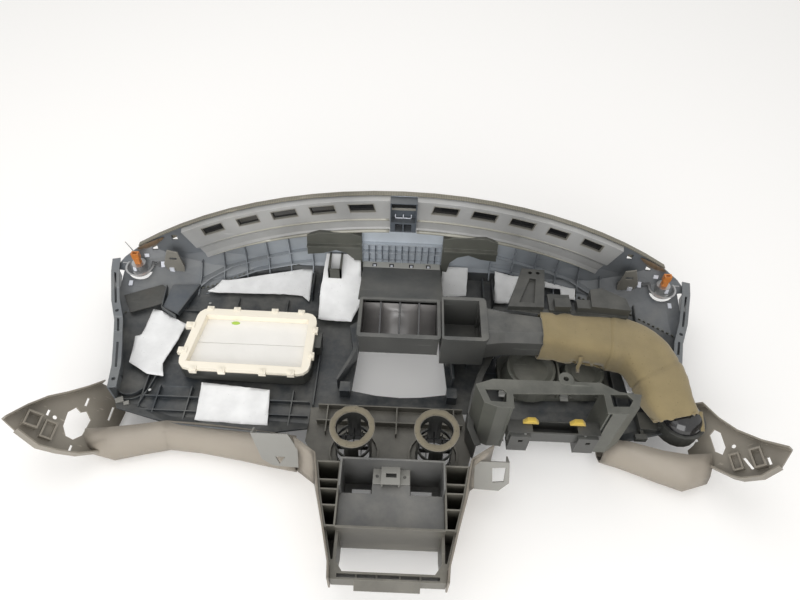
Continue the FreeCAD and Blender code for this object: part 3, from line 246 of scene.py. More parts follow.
def plastic(name, color, rough=0.45, gloss=0.5, grain=900.0, bump=0.12, dust=0.25, wear=0.4, mottle=0.25,
            dustColor=(0.42, 0.40, 0.35, 1), stripes=0.0, scuffAndEdgeShadingColor=None, ends=1.0,
            soften=0.0012):
    # Moulded plastic: mottled colour, dust on top, thin scratches, a painted highlight along the edges
    # (painted shade where the edge colour is dark), fine grain.
    # Stripes is a ribbing's scale; the end share is how much of the colour is left at the dashboard's outer
    # tips, a painted shade that darkens it away from the middle;
    # soften the radius over which edges look rounded.
    material, tree, shader = newMaterial(name)
    coords = addNode(tree, "ShaderNodeTexCoord")
    patches = addNode(tree, "ShaderNodeTexNoise")
    setInputs(patches, Scale=6.0, Detail=5)
    wire(tree, coords, "Object", patches, "Vector")
    ramp = addNode(tree, "ShaderNodeValToRGB")
    ramp.color_ramp.elements[0].position = 0.3
    ramp.color_ramp.elements[0].color = shadeOf(color, 1 - mottle)
    ramp.color_ramp.elements[1].position = 0.7
    ramp.color_ramp.elements[1].color = shadeOf(color, 1 + mottle)
    wire(tree, patches, "Fac", ramp, "Fac")
    # The edge colour is 3.2 times the plastic's colour unless one is given, which paints a highlight along
    # the edges.
    scuffs = placeGroup(tree, scuffAndEdgeShadingGroup, Amount=wear, Scuff_Color=scuffAndEdgeShadingColor or shadeOf(color, 3.2))
    tone = ramp.outputs["Color"]
    if stripes:
        bands = addNode(tree, "ShaderNodeTexWave", bands_direction="X")
        setInputs(bands, Scale=stripes, Distortion=0.6)
        wire(tree, coords, "Object", bands, "Vector")
        darker = addNode(tree, "ShaderNodeMix", data_type="RGBA", blend_type="MULTIPLY")
        setInputs(darker, Factor=0.3)
        link(tree, tone, darker.inputs["A"])
        wire(tree, bands, "Color", darker, "B")
        tone = darker.outputs["Result"]
    # Painted shade: the colour darkens from the middle towards the dashboard's outer tips.
    if ends < 1:
        split = addNode(tree, "ShaderNodeSeparateXYZ")
        wire(tree, coords, "Object", split, "Vector")
        away = addNode(tree, "ShaderNodeMath", operation="ABSOLUTE")
        wire(tree, split, "X", away, 0)
        reach = addNode(tree, "ShaderNodeMapRange")
        setInputs(reach, From_Min=0.09, From_Max=0.50, To_Min=1.0, To_Max=ends)
        wire(tree, away, "Value", reach, "Value")
        shadedTone = addNode(tree, "ShaderNodeVectorMath", operation="SCALE")
        link(tree, tone, shadedTone.inputs["Vector"])
        wire(tree, reach, "Result", shadedTone, "Scale")
        tone = shadedTone.outputs["Vector"]
    link(tree, tone, scuffs.inputs["Color"])
    dusty = placeGroup(tree, dustGroup, Amount=dust, Dust_Color=dustColor)
    wire(tree, scuffs, "Color", dusty, "Color")
    wire(tree, dusty, "Color", shader, "Base Color")
    spread = addNode(tree, "ShaderNodeMapRange")
    setInputs(spread, To_Min=rough, To_Max=min(1.0, rough + 0.5))
    wire(tree, dusty, "Mask", spread, "Value")
    wire(tree, spread, "Result", shader, "Roughness")
    setInputs(shader, Specular_IOR_Level=gloss)
    height = placeGroup(tree, grainGroup, Scale=grain)
    bumpNode = addBump(tree, shader, height.outputs["Height"], bump, 0.0006)
    rounding = addNode(tree, "ShaderNodeBevel", samples=4 if soften < 0.005 else 12)
    setInputs(rounding, Radius=soften)
    wire(tree, rounding, "Normal", bumpNode, "Normal")
    return material


def fibres(name, color, speckColor, speck=0.12, rough=0.95, scale=420.0, bump=0.5, sheen=0.3):
    # Felt or foam: matted fibres with small specks of another colour.
    material, tree, shader = newMaterial(name)
    coords = addNode(tree, "ShaderNodeTexCoord")
    threads = addNode(tree, "ShaderNodeTexNoise")
    setInputs(threads, Scale=scale, Detail=6, Distortion=1.6)
    wire(tree, coords, "Object", threads, "Vector")
    clouds = addNode(tree, "ShaderNodeTexNoise")
    setInputs(clouds, Scale=24.0, Detail=5)
    wire(tree, coords, "Object", clouds, "Vector")
    ramp = addNode(tree, "ShaderNodeValToRGB")
    ramp.color_ramp.elements[0].position = 0.3
    ramp.color_ramp.elements[0].color = shadeOf(color, 0.88)
    ramp.color_ramp.elements[1].position = 0.65
    ramp.color_ramp.elements[1].color = shadeOf(color, 1.04)
    wire(tree, clouds, "Fac", ramp, "Fac")
    spots = addNode(tree, "ShaderNodeTexVoronoi")
    setInputs(spots, Scale=110.0)
    wire(tree, coords, "Object", spots, "Vector")
    spotMask = addNode(tree, "ShaderNodeMapRange")
    setInputs(spotMask, From_Min=speck, From_Max=speck * 0.4)
    wire(tree, spots, "Distance", spotMask, "Value")
    mix = addNode(tree, "ShaderNodeMix", data_type="RGBA")
    setInputs(mix, B=speckColor)
    wire(tree, spotMask, "Result", mix, "Factor")
    wire(tree, ramp, "Color", mix, "A")
    wire(tree, mix, "Result", shader, "Base Color")
    setInputs(shader, Roughness=rough, Sheen_Weight=sheen)
    addBump(tree, shader, threads.outputs["Fac"], bump, 0.0008)
    return material


def metal(name, color, rough):
    # Bare or plated metal with faint brushing.
    material, tree, shader = newMaterial(name)
    coords = addNode(tree, "ShaderNodeTexCoord")
    stretch = addNode(tree, "ShaderNodeMapping")
    setInputs(stretch, Scale=(40, 900, 300))
    wire(tree, coords, "Object", stretch, "Vector")
    lines = addNode(tree, "ShaderNodeTexNoise")
    setInputs(lines, Scale=1.0)
    wire(tree, stretch, "Vector", lines, "Vector")
    ramp = addNode(tree, "ShaderNodeValToRGB")
    ramp.color_ramp.elements[0].color = shadeOf(color, 0.7)
    ramp.color_ramp.elements[1].color = shadeOf(color, 1.1)
    wire(tree, lines, "Fac", ramp, "Fac")
    wire(tree, ramp, "Color", shader, "Base Color")
    setInputs(shader, Metallic=1.0, Roughness=rough)
    addBump(tree, shader, lines.outputs["Fac"], 0.15, 0.0003)
    return material


finish = {
    # The pad's colour darkens from the middle towards its sides as painted shade.
    "pad": plastic("padInside", (0.465, 0.505, 0.55), rough=0.32, gloss=0.6, dust=0.25, wear=0.8,
                   # The pad's dark edge colour paints shade along its edges and rib corners, and darkens
                   # its scratch lines.
                   scuffAndEdgeShadingColor=(0.045, 0.055, 0.07, 1), ends=0.24),
    "channel": plastic("defrosterPlastic", (0.335, 0.335, 0.33), rough=0.28, gloss=0.7, dust=0.3, wear=0.3),
    "face": plastic("faceInside", (0.028, 0.033, 0.038), rough=0.38, gloss=0.55, dust=0.30, wear=0.6),
    "dark": plastic("ductPlastic", (0.034, 0.035, 0.032), rough=0.34, gloss=0.55, dust=0.14, wear=0.4),
    "olive": plastic("bracketPlastic", (0.077, 0.079, 0.067), rough=0.45, gloss=0.5, dust=0.22, wear=0.5),
    "stack": plastic("stackPlastic", (0.105, 0.099, 0.082), rough=0.45, gloss=0.5, dust=0.3, wear=0.45),
    "tray": plastic("trayPlastic", (0.105, 0.105, 0.102), rough=0.42, gloss=0.5, dust=0.3, wear=0.3),
    "beige": plastic("trimPlastic", (0.305, 0.268, 0.220), rough=0.45, gloss=0.5, dust=0.15, wear=0.0,
                     mottle=0.1, soften=0.03),
    "lightGrey": plastic("flapPlastic", (0.25, 0.245, 0.225), rough=0.5, gloss=0.4, dust=0.15, wear=0.2,
                         mottle=0.12),
    "cream": plastic("framePlastic", (0.93, 0.865, 0.735), rough=0.5, gloss=0.4, dust=0.0, wear=0.1,
                     mottle=0.03),
    "white": plastic("doorPlastic", (0.87, 0.85, 0.81), rough=0.5, gloss=0.4, dust=0.08, wear=0.05,
                     mottle=0.04),
    "orange": plastic("plugPlastic", (0.55, 0.185, 0.035), rough=0.35, gloss=0.6, dust=0.05, wear=0.1,
                      mottle=0.1),
    "gloss": plastic("vanePlastic", (0.010, 0.010, 0.011), rough=0.12, gloss=0.8, bump=0.02, dust=0.05,
                     wear=0.1),
    "edgeSkin": plastic("edgeSkin", (0.205, 0.190, 0.150), rough=0.6, gloss=0.35, grain=500, bump=0.3,
                        dust=0.25, wear=0.35, stripes=62.0),
    # Pale colour of the bars that paint the highlights along the channel's ridge and lip.
    "ridge": plastic("channelRidge", (0.34, 0.33, 0.28), rough=0.22, gloss=0.7, dust=0.2, wear=0.6,
                     mottle=0.45),
    "green": plastic("greenPaint", (0.42, 0.62, 0.10), rough=0.6, gloss=0.3, dust=0.0, wear=0.0,
                     mottle=0.3),
    "clip": plastic("clipPlastic", (0.70, 0.72, 0.78), rough=0.5, gloss=0.4, dust=0.1, wear=0.1,
                    mottle=0.05),
    "brownFoam": fibres("brownFoam", (0.125, 0.080, 0.042), (0.06, 0.04, 0.02, 1), speck=0.25, scale=300),
    "felt": fibres("whiteFelt", (0.915, 0.915, 0.91), (0.25, 0.24, 0.22, 1), speck=0.07),
    "tan": fibres("ductFoam", (0.265, 0.208, 0.105), (0.15, 0.11, 0.055, 1), speck=0.12, scale=260,
                  bump=0.7),
    "foam": fibres("gasketFoam", (0.19, 0.165, 0.115), (0.05, 0.04, 0.03, 1), speck=0.14, scale=300,
                   bump=0.9),
    "yellow": fibres("yellowFelt", (0.60, 0.42, 0.07), (0.3, 0.2, 0.05, 1), speck=0.15),
    "steel": metal("springSteel", (0.62, 0.62, 0.60), 0.28),
    "dish": metal("speakerMetal", (0.55, 0.55, 0.55), 0.38),
    "strap": plastic("strapPlastic", (0.070, 0.082, 0.098), rough=0.4, gloss=0.5, dust=0.2, wear=0.2,
                     mottle=0.15),
    "wing": plastic("wingPlastic", (0.235, 0.210, 0.172), rough=0.4, gloss=0.5, dust=0.25, wear=0.4),
    "flange": plastic("flangePlastic", (0.135, 0.146, 0.156), rough=0.4, gloss=0.5, dust=0.2, wear=0.3),
    "duct": plastic("ductPanel", (0.075, 0.076, 0.072), rough=0.36, gloss=0.55, dust=0.2, wear=0.3),
    "ribLine": plastic("ribLine", (0.06, 0.072, 0.09), rough=0.4, gloss=0.5, dust=0.1, wear=0.1),
    "liner": plastic("ductLiner", (0.20, 0.19, 0.185), rough=0.2, gloss=0.8, dust=0.1, wear=0.2,
                     mottle=0.35),
    "strip": plastic("ductStrip", (0.42, 0.42, 0.39), rough=0.35, gloss=0.6, dust=0.2, wear=0.2,
                     mottle=0.15),
    "cornerPale": plastic("cornerPale", (0.20, 0.190, 0.165), rough=0.45, gloss=0.5, dust=0.25, wear=0.3),
    # Pale colour of the slot linings, where it paints highlights on the slots' rims, and of the sensor's
    # bar.
    "rim": plastic("slotRim", (0.26, 0.25, 0.22), rough=0.45, gloss=0.5, dust=0.1, wear=0.1, mottle=0.15),
}
print("stage: materials made,", len(finish))

finishOfNode = {
    "top_pad_carrier": "pad", "face_carrier": "face", "airbag_surround": "dark", "airbag_frame": "cream",
    "airbag_door_plate": "white", "airbag_cover": "olive", "windshield_edge_trim": "edgeSkin",
    "defroster_channel": "channel", "sensor_bracket": "strap", "center_duct": "duct", "driver_duct": "duct",
    "duct_outlet_boot": "dark", "duct_sleeve": "tan", "duct_bracket": "dark", "cluster_housing": "olive",
    "gauge_hood": "dark", "column_support": "olive", "column_crossbar": "dark", "column_shroud": "dark",
    "vent_panel": "stack", "stack_frame": "stack", "stack_tray": "tray", "tray_bracket": "lightGrey",
    "metal_clips": "steel", "arch_bracket": "olive", "vent_barrel": "dark", "vent_gasket": "foam",
    "vent_vanes": "gloss", "stack_side": "beige", "lower_trim": "beige", "knee_flap": "lightGrey",
    "end_wing": "wing", "end_flange": "flange", "corner_bracket": "cornerPale", "tweeter": "dish",
    "tweeter_plug": "orange", "yellow_pad": "yellow",
}
for name, body in nodes.items():
    plain = name.rsplit("_", 1)[0] if name.endswith(("_left", "_right")) else name
    key = "felt" if name.startswith("felt_") else finishOfNode.get(name, finishOfNode.get(plain))
    body.data.materials.clear()
    body.data.materials.append(finish[key])
print("stage: nodes finished")

# Pieces that the frame's solids only stand in for, and the small fittings
middle = Vector((-0.0036, 0.0875, 0.0))


def spot(x, y, z):
    # Place in the part's frame of a point in millimetres from the dashboard's middle plane.
    return Vector((x, y, z)) / 1000 + middle


def addPiece(name, points, faces, look, smooth=True):
    mesh = bpy.data.meshes.new(name)
    mesh.from_pydata([tuple(point) for point in points], [], faces)
    mesh.materials.append(finish[look])
    for face in mesh.polygons:
        face.use_smooth = smooth
    piece = placeObject(name, mesh)
    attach(piece, "root")
    return piece


def settle(piece):
    # Turn the piece's modifiers into plain mesh.
    graph = bpy.context.evaluated_depsgraph_get()
    solid = bpy.data.meshes.new_from_object(piece.evaluated_get(graph))
    piece.modifiers.clear()
    piece.data = solid
    return piece


def thicken(piece, amount):
    wall = piece.modifiers.new("thickness", "SOLIDIFY")
    wall.thickness = amount
    wall.offset = -1
    return settle(piece)


def prism(outline, low, high):
    # Points and faces of an upright block with the outline given in millimetres.
    count = len(outline)
    points = [spot(x, y, low) for x, y in outline] + [spot(x, y, high) for x, y in outline]
    faces = [list(range(count))[::-1], list(range(count, 2 * count))]
    for index in range(count):
        after = (index + 1) % count
        faces.append([index, after, count + after, count + index])
    return points, faces


def gather(name, shapes, look):
    points, faces = [], []
    for shapePoints, shapeFaces in shapes:
        start = len(points)
        points += shapePoints
        faces += [[start + index for index in face] for face in shapeFaces]
    piece = addPiece(name, points, faces, look, False)
    grid = bmesh.new()
    grid.from_mesh(piece.data)
    bmesh.ops.recalc_face_normals(grid, faces=grid.faces)
    grid.to_mesh(piece.data)
    grid.free()
    return piece


def ringFaces(rows, around):
    # Faces between neighbouring rings of points.
    faces = []
    for row in range(rows - 1):
        for turn in range(around):
            after = (turn + 1) % around
            faces.append([row * around + turn, row * around + after, (row + 1) * around + after,
                          (row + 1) * around + turn])
    return faces


feltSize = {"cell": 0.008, "wave": 0.0014, "thickness": 0.0021, "curl": 0.005, "curlReach": 0.035}


def makeFelt(name):
    # Wavy felt sheet over the flat stand-in, with some corners that curl up.
    body = nodes[name]
    grid = bmesh.new()
    grid.from_mesh(body.data)
    bmesh.ops.transform(grid, matrix=body.matrix_world, verts=grid.verts)
    bmesh.ops.remove_doubles(grid, verts=grid.verts, dist=1e-5)
    grid.normal_update()
    away = [face for face in grid.faces if face.normal.z < 0.5]
    bmesh.ops.delete(grid, geom=away, context="FACES")
    area = sum(face.calc_area() for face in grid.faces)
    corners = [vert.co.copy() for vert in grid.verts]
    low = Vector([min(corner[axis] for corner in corners) for axis in range(3)])
    high = Vector([max(corner[axis] for corner in corners) for axis in range(3)])
    for axis in (0, 1):
        steps = int((high[axis] - low[axis]) / feltSize["cell"])
        normal = Vector((1 - axis, axis, 0))
        for step in range(1, steps + 1):
            place = low + normal * step * feltSize["cell"]
            everything = grid.verts[:] + grid.edges[:] + grid.faces[:]
            bmesh.ops.bisect_plane(grid, geom=everything, plane_co=place, plane_no=normal)
    curled = [corner for corner in corners if noise.noise(corner * 41) > 0.02]
    for vert in grid.verts:
        swell = 0.5 + 0.5 * noise.noise(vert.co * 34) + 0.25 * noise.noise(vert.co * 90)
        lift = feltSize["wave"] * max(0.0, swell)
        for corner in curled:
            near = max(0.0, 1 - (vert.co - corner).length / feltSize["curlReach"])
            lift = max(lift, feltSize["curl"] * near ** 2)
        ragged = Vector((noise.noise(vert.co * 160), noise.noise(vert.co * 160 + Vector((7, 3, 1))), 0))
        if vert.is_boundary:
            vert.co += ragged * 0.0009
        vert.co.z += lift
    mesh = bpy.data.meshes.new(name)
    grid.to_mesh(mesh)
    grid.free()
    mesh.materials.append(finish["felt"])
    for face in mesh.polygons:
        face.use_smooth = True
    label = name.replace("_", " ").title().replace(" ", "")
    piece = placeObject("sheet" + label, mesh)
    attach(piece, "root")
    thicken(piece, feltSize["thickness"])
    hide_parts(name)
    return piece


felts = [makeFelt(name) for name in sorted(nodes) if name.startswith("felt_")]
print("stage: felt sheets laid,", len(felts))

# Sections of the foam wrap round the driver's duct, in millimetres and degrees
wrap = {
    "sections": [(278, 37, 143, 0, 0, 80, 80), (380, 30, 143, -4, 0, 96, 74),
                 (426, 26, 142, -16, 0, 108, 72),
                 (472, 12, 134, -42, 0, 108, 68), (504, -30, 121, -62, 8, 106, 64),
                 (516, -80, 109, -80, 14, 94, 58), (530, -110, 100, -74, 26, 82, 54)],
    "steps": 14,
    "around": 56,
    "seams": (5.0, 23.0, 56.0),
    "thickness": 0.0052,
    "tearRows": (8, 22),
    "tearTurns": (186, 226),
}


def blendSections(sections, steps):
    # Smooth run of sections through the given ones.
    rows = []
    last = len(sections) - 1
    for index in range(last):
        before, after = sections[max(index - 1, 0)], sections[min(index + 2, last)]
        four = [before, sections[index], sections[index + 1], after]
        for step in range(steps):
            t = step / steps
            rows.append([0.5 * (2 * b + (c - a) * t + (2 * a - 5 * b + 4 * c - d) * t ** 2
                                + (3 * b - a - 3 * c + d) * t ** 3) for a, b, c, d in zip(*four)])
    rows.append(list(sections[-1]))
    return rows


def makeWrap():
    rows = blendSections(wrap["sections"], wrap["steps"])
    around = wrap["around"]
    points, faces = [], []
    for number, (x, y, z, heading, dive, width, height) in enumerate(rows):
        turn, tip = math.radians(heading), math.radians(dive)
        across = Vector((-math.sin(turn), math.cos(turn), 0))
        ahead = Vector((math.cos(turn) * math.cos(tip), math.sin(turn) * math.cos(tip), -math.sin(tip)))
        up = ahead.cross(across)
        seam = 0.0
        for row in wrap["seams"]:
            seam += 1.3 * math.exp(-((number - row - 2.2) / 1.6) ** 2)
            seam -= 2.0 * math.exp(-((number - row) / 0.6) ** 2)
        for step in range(around):
            angle = 2 * math.pi * step / around
            side, top = math.cos(angle), math.sin(angle)
            flatSide = math.copysign(abs(side) ** 0.5, side) * width / 2
            flatTop = math.copysign(abs(top) ** 0.5, top) * height / 2
            out = (across * flatSide + up * flatTop).normalized()
            place = Vector((x, y, z)) + across * flatSide + up * flatTop
            dent = 1.6 * noise.noise(place * 0.021) + 0.9 * noise.noise(place * 0.06)
            dent += 0.35 * noise.noise(place * 0.2)
            slack = 0.0
            if number == len(rows) - 1:
                slack = 5 * noise.noise(place * 0.09)
            if number == 0:
                slack = 2 * noise.noise(place * 0.12)
            place += out * (dent + seam - 0.6) + ahead * slack
            points.append(spot(*place))
    torn = wrap["tearRows"]
    for row in range(len(rows) - 1):
        for step in range(around):
            degrees = 360 * step / around
            edge = 9 * noise.noise(Vector((row * 0.45, step * 0.5, 3.1)))
            gone = torn[0] - edge * 0.2 < row < torn[1] + edge * 0.2
            if gone and wrap["tearTurns"][0] + edge < degrees < wrap["tearTurns"][1] + edge:
                continue
            after = (step + 1) % around
            faces.append([row * around + step, row * around + after, (row + 1) * around + after,
                          (row + 1) * around + step])
    piece = addPiece("ductWrap", points, faces, "tan")
    thicken(piece, wrap["thickness"])
    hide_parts("duct_sleeve")
    return piece


makeWrap()
print("stage: duct wrapped")


def makeStrip(name, path, width, look, wall=0.0016):
    # Loose strip along a path of points in millimetres, which narrows to its end.
    points, faces = [], []
    for number, place in enumerate(path):
        half = width / 2 * (1 - 0.3 * number / len(path))
        points += [spot(place[0] - half, place[1], place[2]), spot(place[0] + half, place[1], place[2])]
    for number in range(len(path) - 1):
        start = 2 * number
        faces.append([start, start + 1, start + 3, start + 2])
    piece = addPiece(name, points, faces, look)
    return thicken(piece, wall)


makeStrip("wrapTatterLeft", [(352, -16, 152), (353, -20, 140), (351, -23, 126), (354, -26, 113)], 8, "tan")
makeStrip("wrapTatterRight", [(573, -102, 112), (575, -112, 104), (577, -122, 98), (576, -134, 94)], 9,
          "tan")

# Foam ring of a vent, in millimetres
ringSize = {"inner": 29.0, "outer": 39.5, "low": 152.2, "high": 161.5, "turns": 72, "around": 14,
            "bulge": 1.5}


def makeGasket(name, x):
    # Lumpy foam ring with a crumbling edge on a vent barrel.
    points, faces = [], []
    inner, outer, low, high = ringSize["inner"], ringSize["outer"], ringSize["low"], ringSize["high"]
    center, half = (inner + outer) / 2, (outer - inner) / 2
    for turn in range(ringSize["turns"]):
        angle = 2 * math.pi * turn / ringSize["turns"]
        for step in range(ringSize["around"]):
            lean = 2 * math.pi * step / ringSize["around"]
            side = math.copysign(abs(math.cos(lean)) ** 0.6, math.cos(lean))
            top = math.copysign(abs(math.sin(lean)) ** 0.6, math.sin(lean))
            radius = center + half * side
            z = (low + high) / 2 + (high - low) / 2 * top
            place = Vector((x + radius * math.cos(angle), -188 + radius * math.sin(angle), z))
            lump = ringSize["bulge"] * noise.noise(place * 0.13) + 0.7 * noise.noise(place * 0.4)
            if step > 0 and top > -0.2:
                place += Vector((math.cos(angle) * side, math.sin(angle) * side, 0.8 * top)) * lump
            points.append(spot(*place))
    around = ringSize["around"]
    for turn in range(ringSize["turns"]):
        after = (turn + 1) % ringSize["turns"]
        for step in range(around):
            beyond = (step + 1) % around
            faces.append([turn * around + step, after * around + step, after * around + beyond,
                          turn * around + beyond])
    piece = addPiece("foamRing" + name.title(), points, faces, "foam")
    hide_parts("vent_gasket_" + name)


makeGasket("left", -73.5)
makeGasket("right", 73.5)


def makeWedge(name, x):
    # Yellow felt wedge with rounded edges on the crossbar.
    outline = [(x - 15, 140.3), (x - 7, 151.3), (x + 7, 151.3), (x + 15, 140.3)]
    grid = bmesh.new()
    rows = []
    for y in (-160, -151):
        rows.append([grid.verts.new(spot(px, y, pz)) for px, pz in outline])
    front, back = rows
    grid.faces.new(front)
    grid.faces.new(back[::-1])
    for index in range(4):
        after = (index + 1) % 4
        grid.faces.new([front[after], front[index], back[index], back[after]])
    bmesh.ops.recalc_face_normals(grid, faces=grid.faces)
    bmesh.ops.bevel(grid, geom=grid.edges[:], offset=0.0016, segments=3, affect="EDGES", profile=0.5)
    mesh = bpy.data.meshes.new("wedge")
    grid.to_mesh(mesh)
    grid.free()
    mesh.materials.append(finish["yellow"])
    for face in mesh.polygons:
        face.use_smooth = True
    piece = placeObject("yellowWedge" + name.title(), mesh)
    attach(piece, "root")
    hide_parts("yellow_pad_" + name)


makeWedge("left", 243)
makeWedge("right", 327)
print("stage: foam rings and wedges placed")


def newBuilder(name, values):
    # Geometry node tree with a mesh input and number inputs; returns it with its ends.
    tree = bpy.data.node_groups.new(name, "GeometryNodeTree")
    tree.interface.new_socket("Geometry", in_out="INPUT", socket_type="NodeSocketGeometry")
    for label, value in values:
        socket = tree.interface.new_socket(label, in_out="INPUT", socket_type="NodeSocketFloat")
        socket.default_value = value
    tree.interface.new_socket("Material", in_out="INPUT", socket_type="NodeSocketMaterial")
    tree.interface.new_socket("Geometry", in_out="OUTPUT", socket_type="NodeSocketGeometry")
    return tree, tree.nodes.new("NodeGroupInput"), tree.nodes.new("NodeGroupOutput")


def closeBuilder(tree, inside, out, instances):
    realize = addNode(tree, "GeometryNodeRealizeInstances")
    paint = addNode(tree, "GeometryNodeSetMaterial")
    link(tree, instances, realize.inputs["Geometry"])
    wire(tree, realize, "Geometry", paint, "Geometry")
    wire(tree, inside, "Material", paint, "Material")
    wire(tree, paint, "Geometry", out, "Geometry")
    return tree


def makeScrewTree():
    # A round head with a smaller raised middle on every point.
    tree, inside, out = newBuilder("screwHeads", [("Radius", 0.0035), ("Height", 0.0016)])
    head = addNode(tree, "GeometryNodeMeshCylinder")
    setInputs(head, Vertices=18)
    wire(tree, inside, "Radius", head, "Radius")
    wire(tree, inside, "Height", head, "Depth")
    small = addNode(tree, "ShaderNodeMath", operation="MULTIPLY")
    small.inputs[1].default_value = 0.5
    wire(tree, inside, "Radius", small, 0)
    taller = addNode(tree, "ShaderNodeMath", operation="MULTIPLY")
    taller.inputs[1].default_value = 1.9
    wire(tree, inside, "Height", taller, 0)
    tip = addNode(tree, "GeometryNodeMeshCylinder")
    setInputs(tip, Vertices=6)
    wire(tree, small, "Value", tip, "Radius")
    wire(tree, taller, "Value", tip, "Depth")
    both = addNode(tree, "GeometryNodeJoinGeometry")
    wire(tree, head, "Mesh", both, "Geometry")
    wire(tree, tip, "Mesh", both, "Geometry")
    place = addNode(tree, "GeometryNodeInstanceOnPoints")
    wire(tree, inside, "Geometry", place, "Points")
    wire(tree, both, "Geometry", place, "Instance")
    return closeBuilder(tree, inside, out, place.outputs["Instances"])


def makeToothTree():
    # Small teeth set at equal spacing along every edge of the mesh.
    tree, inside, out = newBuilder("teeth", [("Spacing", 0.01), ("Length", 0.005), ("Thickness", 0.002),
                                             ("Height", 0.006)])
    curve = addNode(tree, "GeometryNodeMeshToCurve")
    wire(tree, inside, "Geometry", curve, "Mesh")
    even = addNode(tree, "GeometryNodeResampleCurve", mode="LENGTH")
    wire(tree, curve, "Curve", even, "Curve")
    wire(tree, inside, "Spacing", even, "Length")
    size = addNode(tree, "ShaderNodeCombineXYZ")
    wire(tree, inside, "Length", size, "X")
    wire(tree, inside, "Thickness", size, "Y")
    wire(tree, inside, "Height", size, "Z")
    cube = addNode(tree, "GeometryNodeMeshCube")
    wire(tree, size, "Vector", cube, "Size")
    tangent = addNode(tree, "GeometryNodeInputTangent")
    aim = addNode(tree, "FunctionNodeAlignRotationToVector", axis="X")
    wire(tree, tangent, "Tangent", aim, "Vector")
    place = addNode(tree, "GeometryNodeInstanceOnPoints")
    wire(tree, even, "Curve", place, "Points")
    wire(tree, cube, "Mesh", place, "Instance")
    wire(tree, aim, "Rotation", place, "Rotation")
    return closeBuilder(tree, inside, out, place.outputs["Instances"])


def runBuilder(name, tree, points, edges, look, **values):
    mesh = bpy.data.meshes.new(name)
    mesh.from_pydata([tuple(point) for point in points], edges, [])
    piece = placeObject(name, mesh)
    modifier = piece.modifiers.new("builder", "NODES")
    modifier.node_group = tree
    values["Material"] = finish[look]
    for socket in tree.interface.items_tree:
        if socket.in_out == "INPUT" and socket.name in values:
            modifier[socket.identifier] = values[socket.name]
    settle(piece)
    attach(piece, "root")
    return piece


screwTree = makeScrewTree()
toothTree = makeToothTree()

# Rivets on the airbag frame's tabs
bag = {"x": -305, "y": 31, "halfWidth": 134, "halfHeight": 80, "top": 96.8}
rivets = []
for share in (-0.72, -0.3, 0.3, 0.72):
    rivets.append(spot(bag["x"] + share * bag["halfWidth"], bag["y"] + bag["halfHeight"] - 3, bag["top"]))
    rivets.append(spot(bag["x"] + share * bag["halfWidth"], bag["y"] - bag["halfHeight"] + 4, bag["top"]))
for share in (-0.4, 0.4):
    for edge in (-bag["halfWidth"] + 6, bag["halfWidth"] - 3):
        rivets.append(spot(bag["x"] + edge, bag["y"] + share * bag["halfHeight"], bag["top"]))
runBuilder("airbagRivets", screwTree, rivets, [], "cream", Radius=0.0042, Height=0.0022)
screws = [(232, -176, 137), (338, -176, 137), (-96, -160, 50.6), (94, -160, 50.6), (-486, -76, 60.6),
          (-420, 150, 60.6), (450, 150, 60.6)]
runBuilder("fixingScrews", screwTree, [spot(*screw) for screw in screws], [], "steel", Radius=0.0028,
           Height=0.0016)

# Teeth along the edge where the face meets the pad
for side, word in ((-1, "Left"), (1, "Right")):
    run = [(236, 251.4, 89), (330, 242.8, 75), (430, 195.4, 62.5), (510, 164.4, 65), (590, 107.1, 67.5)]
    points = [spot(side * x, y, z + 2) for x, y, z in run]
    edges = [(index, index + 1) for index in range(len(run) - 1)]
    runBuilder("lapTeeth" + word, toothTree, points, edges, "olive", Spacing=0.0105, Length=0.0055,
               Thickness=0.0022, Height=0.006)
print("stage: rivets, screws and teeth set")

# Pale linings of the ten air slots under the windshield edge, whose pale colour paints the highlights on
# the slots' rims
slotSpans = [(56, 110), (137, 190), (217, 271), (299, 347), (378, 427)]


# Arc of the windshield edge in millimetres, and half the turn that the sensor's box takes in degrees
edge = {"radius": 1060.0, "top": 307, "boxTurn": 1.72}


def edgeArc(x):
    return math.sqrt(edge["radius"] ** 2 - x ** 2) + edge["top"] - edge["radius"]


slot = {"lean": 5, "bottom": 36, "top": 13, "wall": 1.4}


def slotCorners(low, high, inset):
    lean, bottom, top = slot["lean"], slot["bottom"], slot["top"]
    return [(low + inset, edgeArc(low) - bottom + inset), (high - inset, edgeArc(high) - bottom + inset),
            (high + lean - inset, edgeArc(high + lean) - top - inset),
            (low + lean + inset, edgeArc(low + lean) - top - inset)]


def slotLining(side, low, high):
    points, faces = [], []
    for inset in (0.1, slot["wall"]):
        corners = slotCorners(low, high, inset)
        for y in (238.6, 245.0):
            points += [spot(side * x, y, z) for x, z in corners]
    for index in range(4):
        after = (index + 1) % 4
        faces += [[index, after, 8 + after, 8 + index], [4 + index, 4 + after, 12 + after, 12 + index],
                  [8 + index, 8 + after, 12 + after, 12 + index], [index, after, 4 + after, 4 + index]]
    return points, faces


linings = [slotLining(side, low, high) for side in (-1, 1) for low, high in slotSpans]
gather("slotLinings", linings, "rim")


# Dark floor plate under each slot: painted shade inside the slots.
def slotShadeFloor(side, low, high):
    points = [spot(side * x, y, z) for y in (244.6, 245.4) for x, z in slotCorners(low, high, 0)]
    faces = [[0, 1, 2, 3], [4, 5, 6, 7]] + [[index, (index + 1) % 4, 4 + (index + 1) % 4, 4 + index]
                                           for index in range(4)]
    return points, faces


shadeFloors = [slotShadeFloor(side, low, high) for side in (-1, 1) for low, high in slotSpans]
gather("slotFloors", shadeFloors, "gloss")

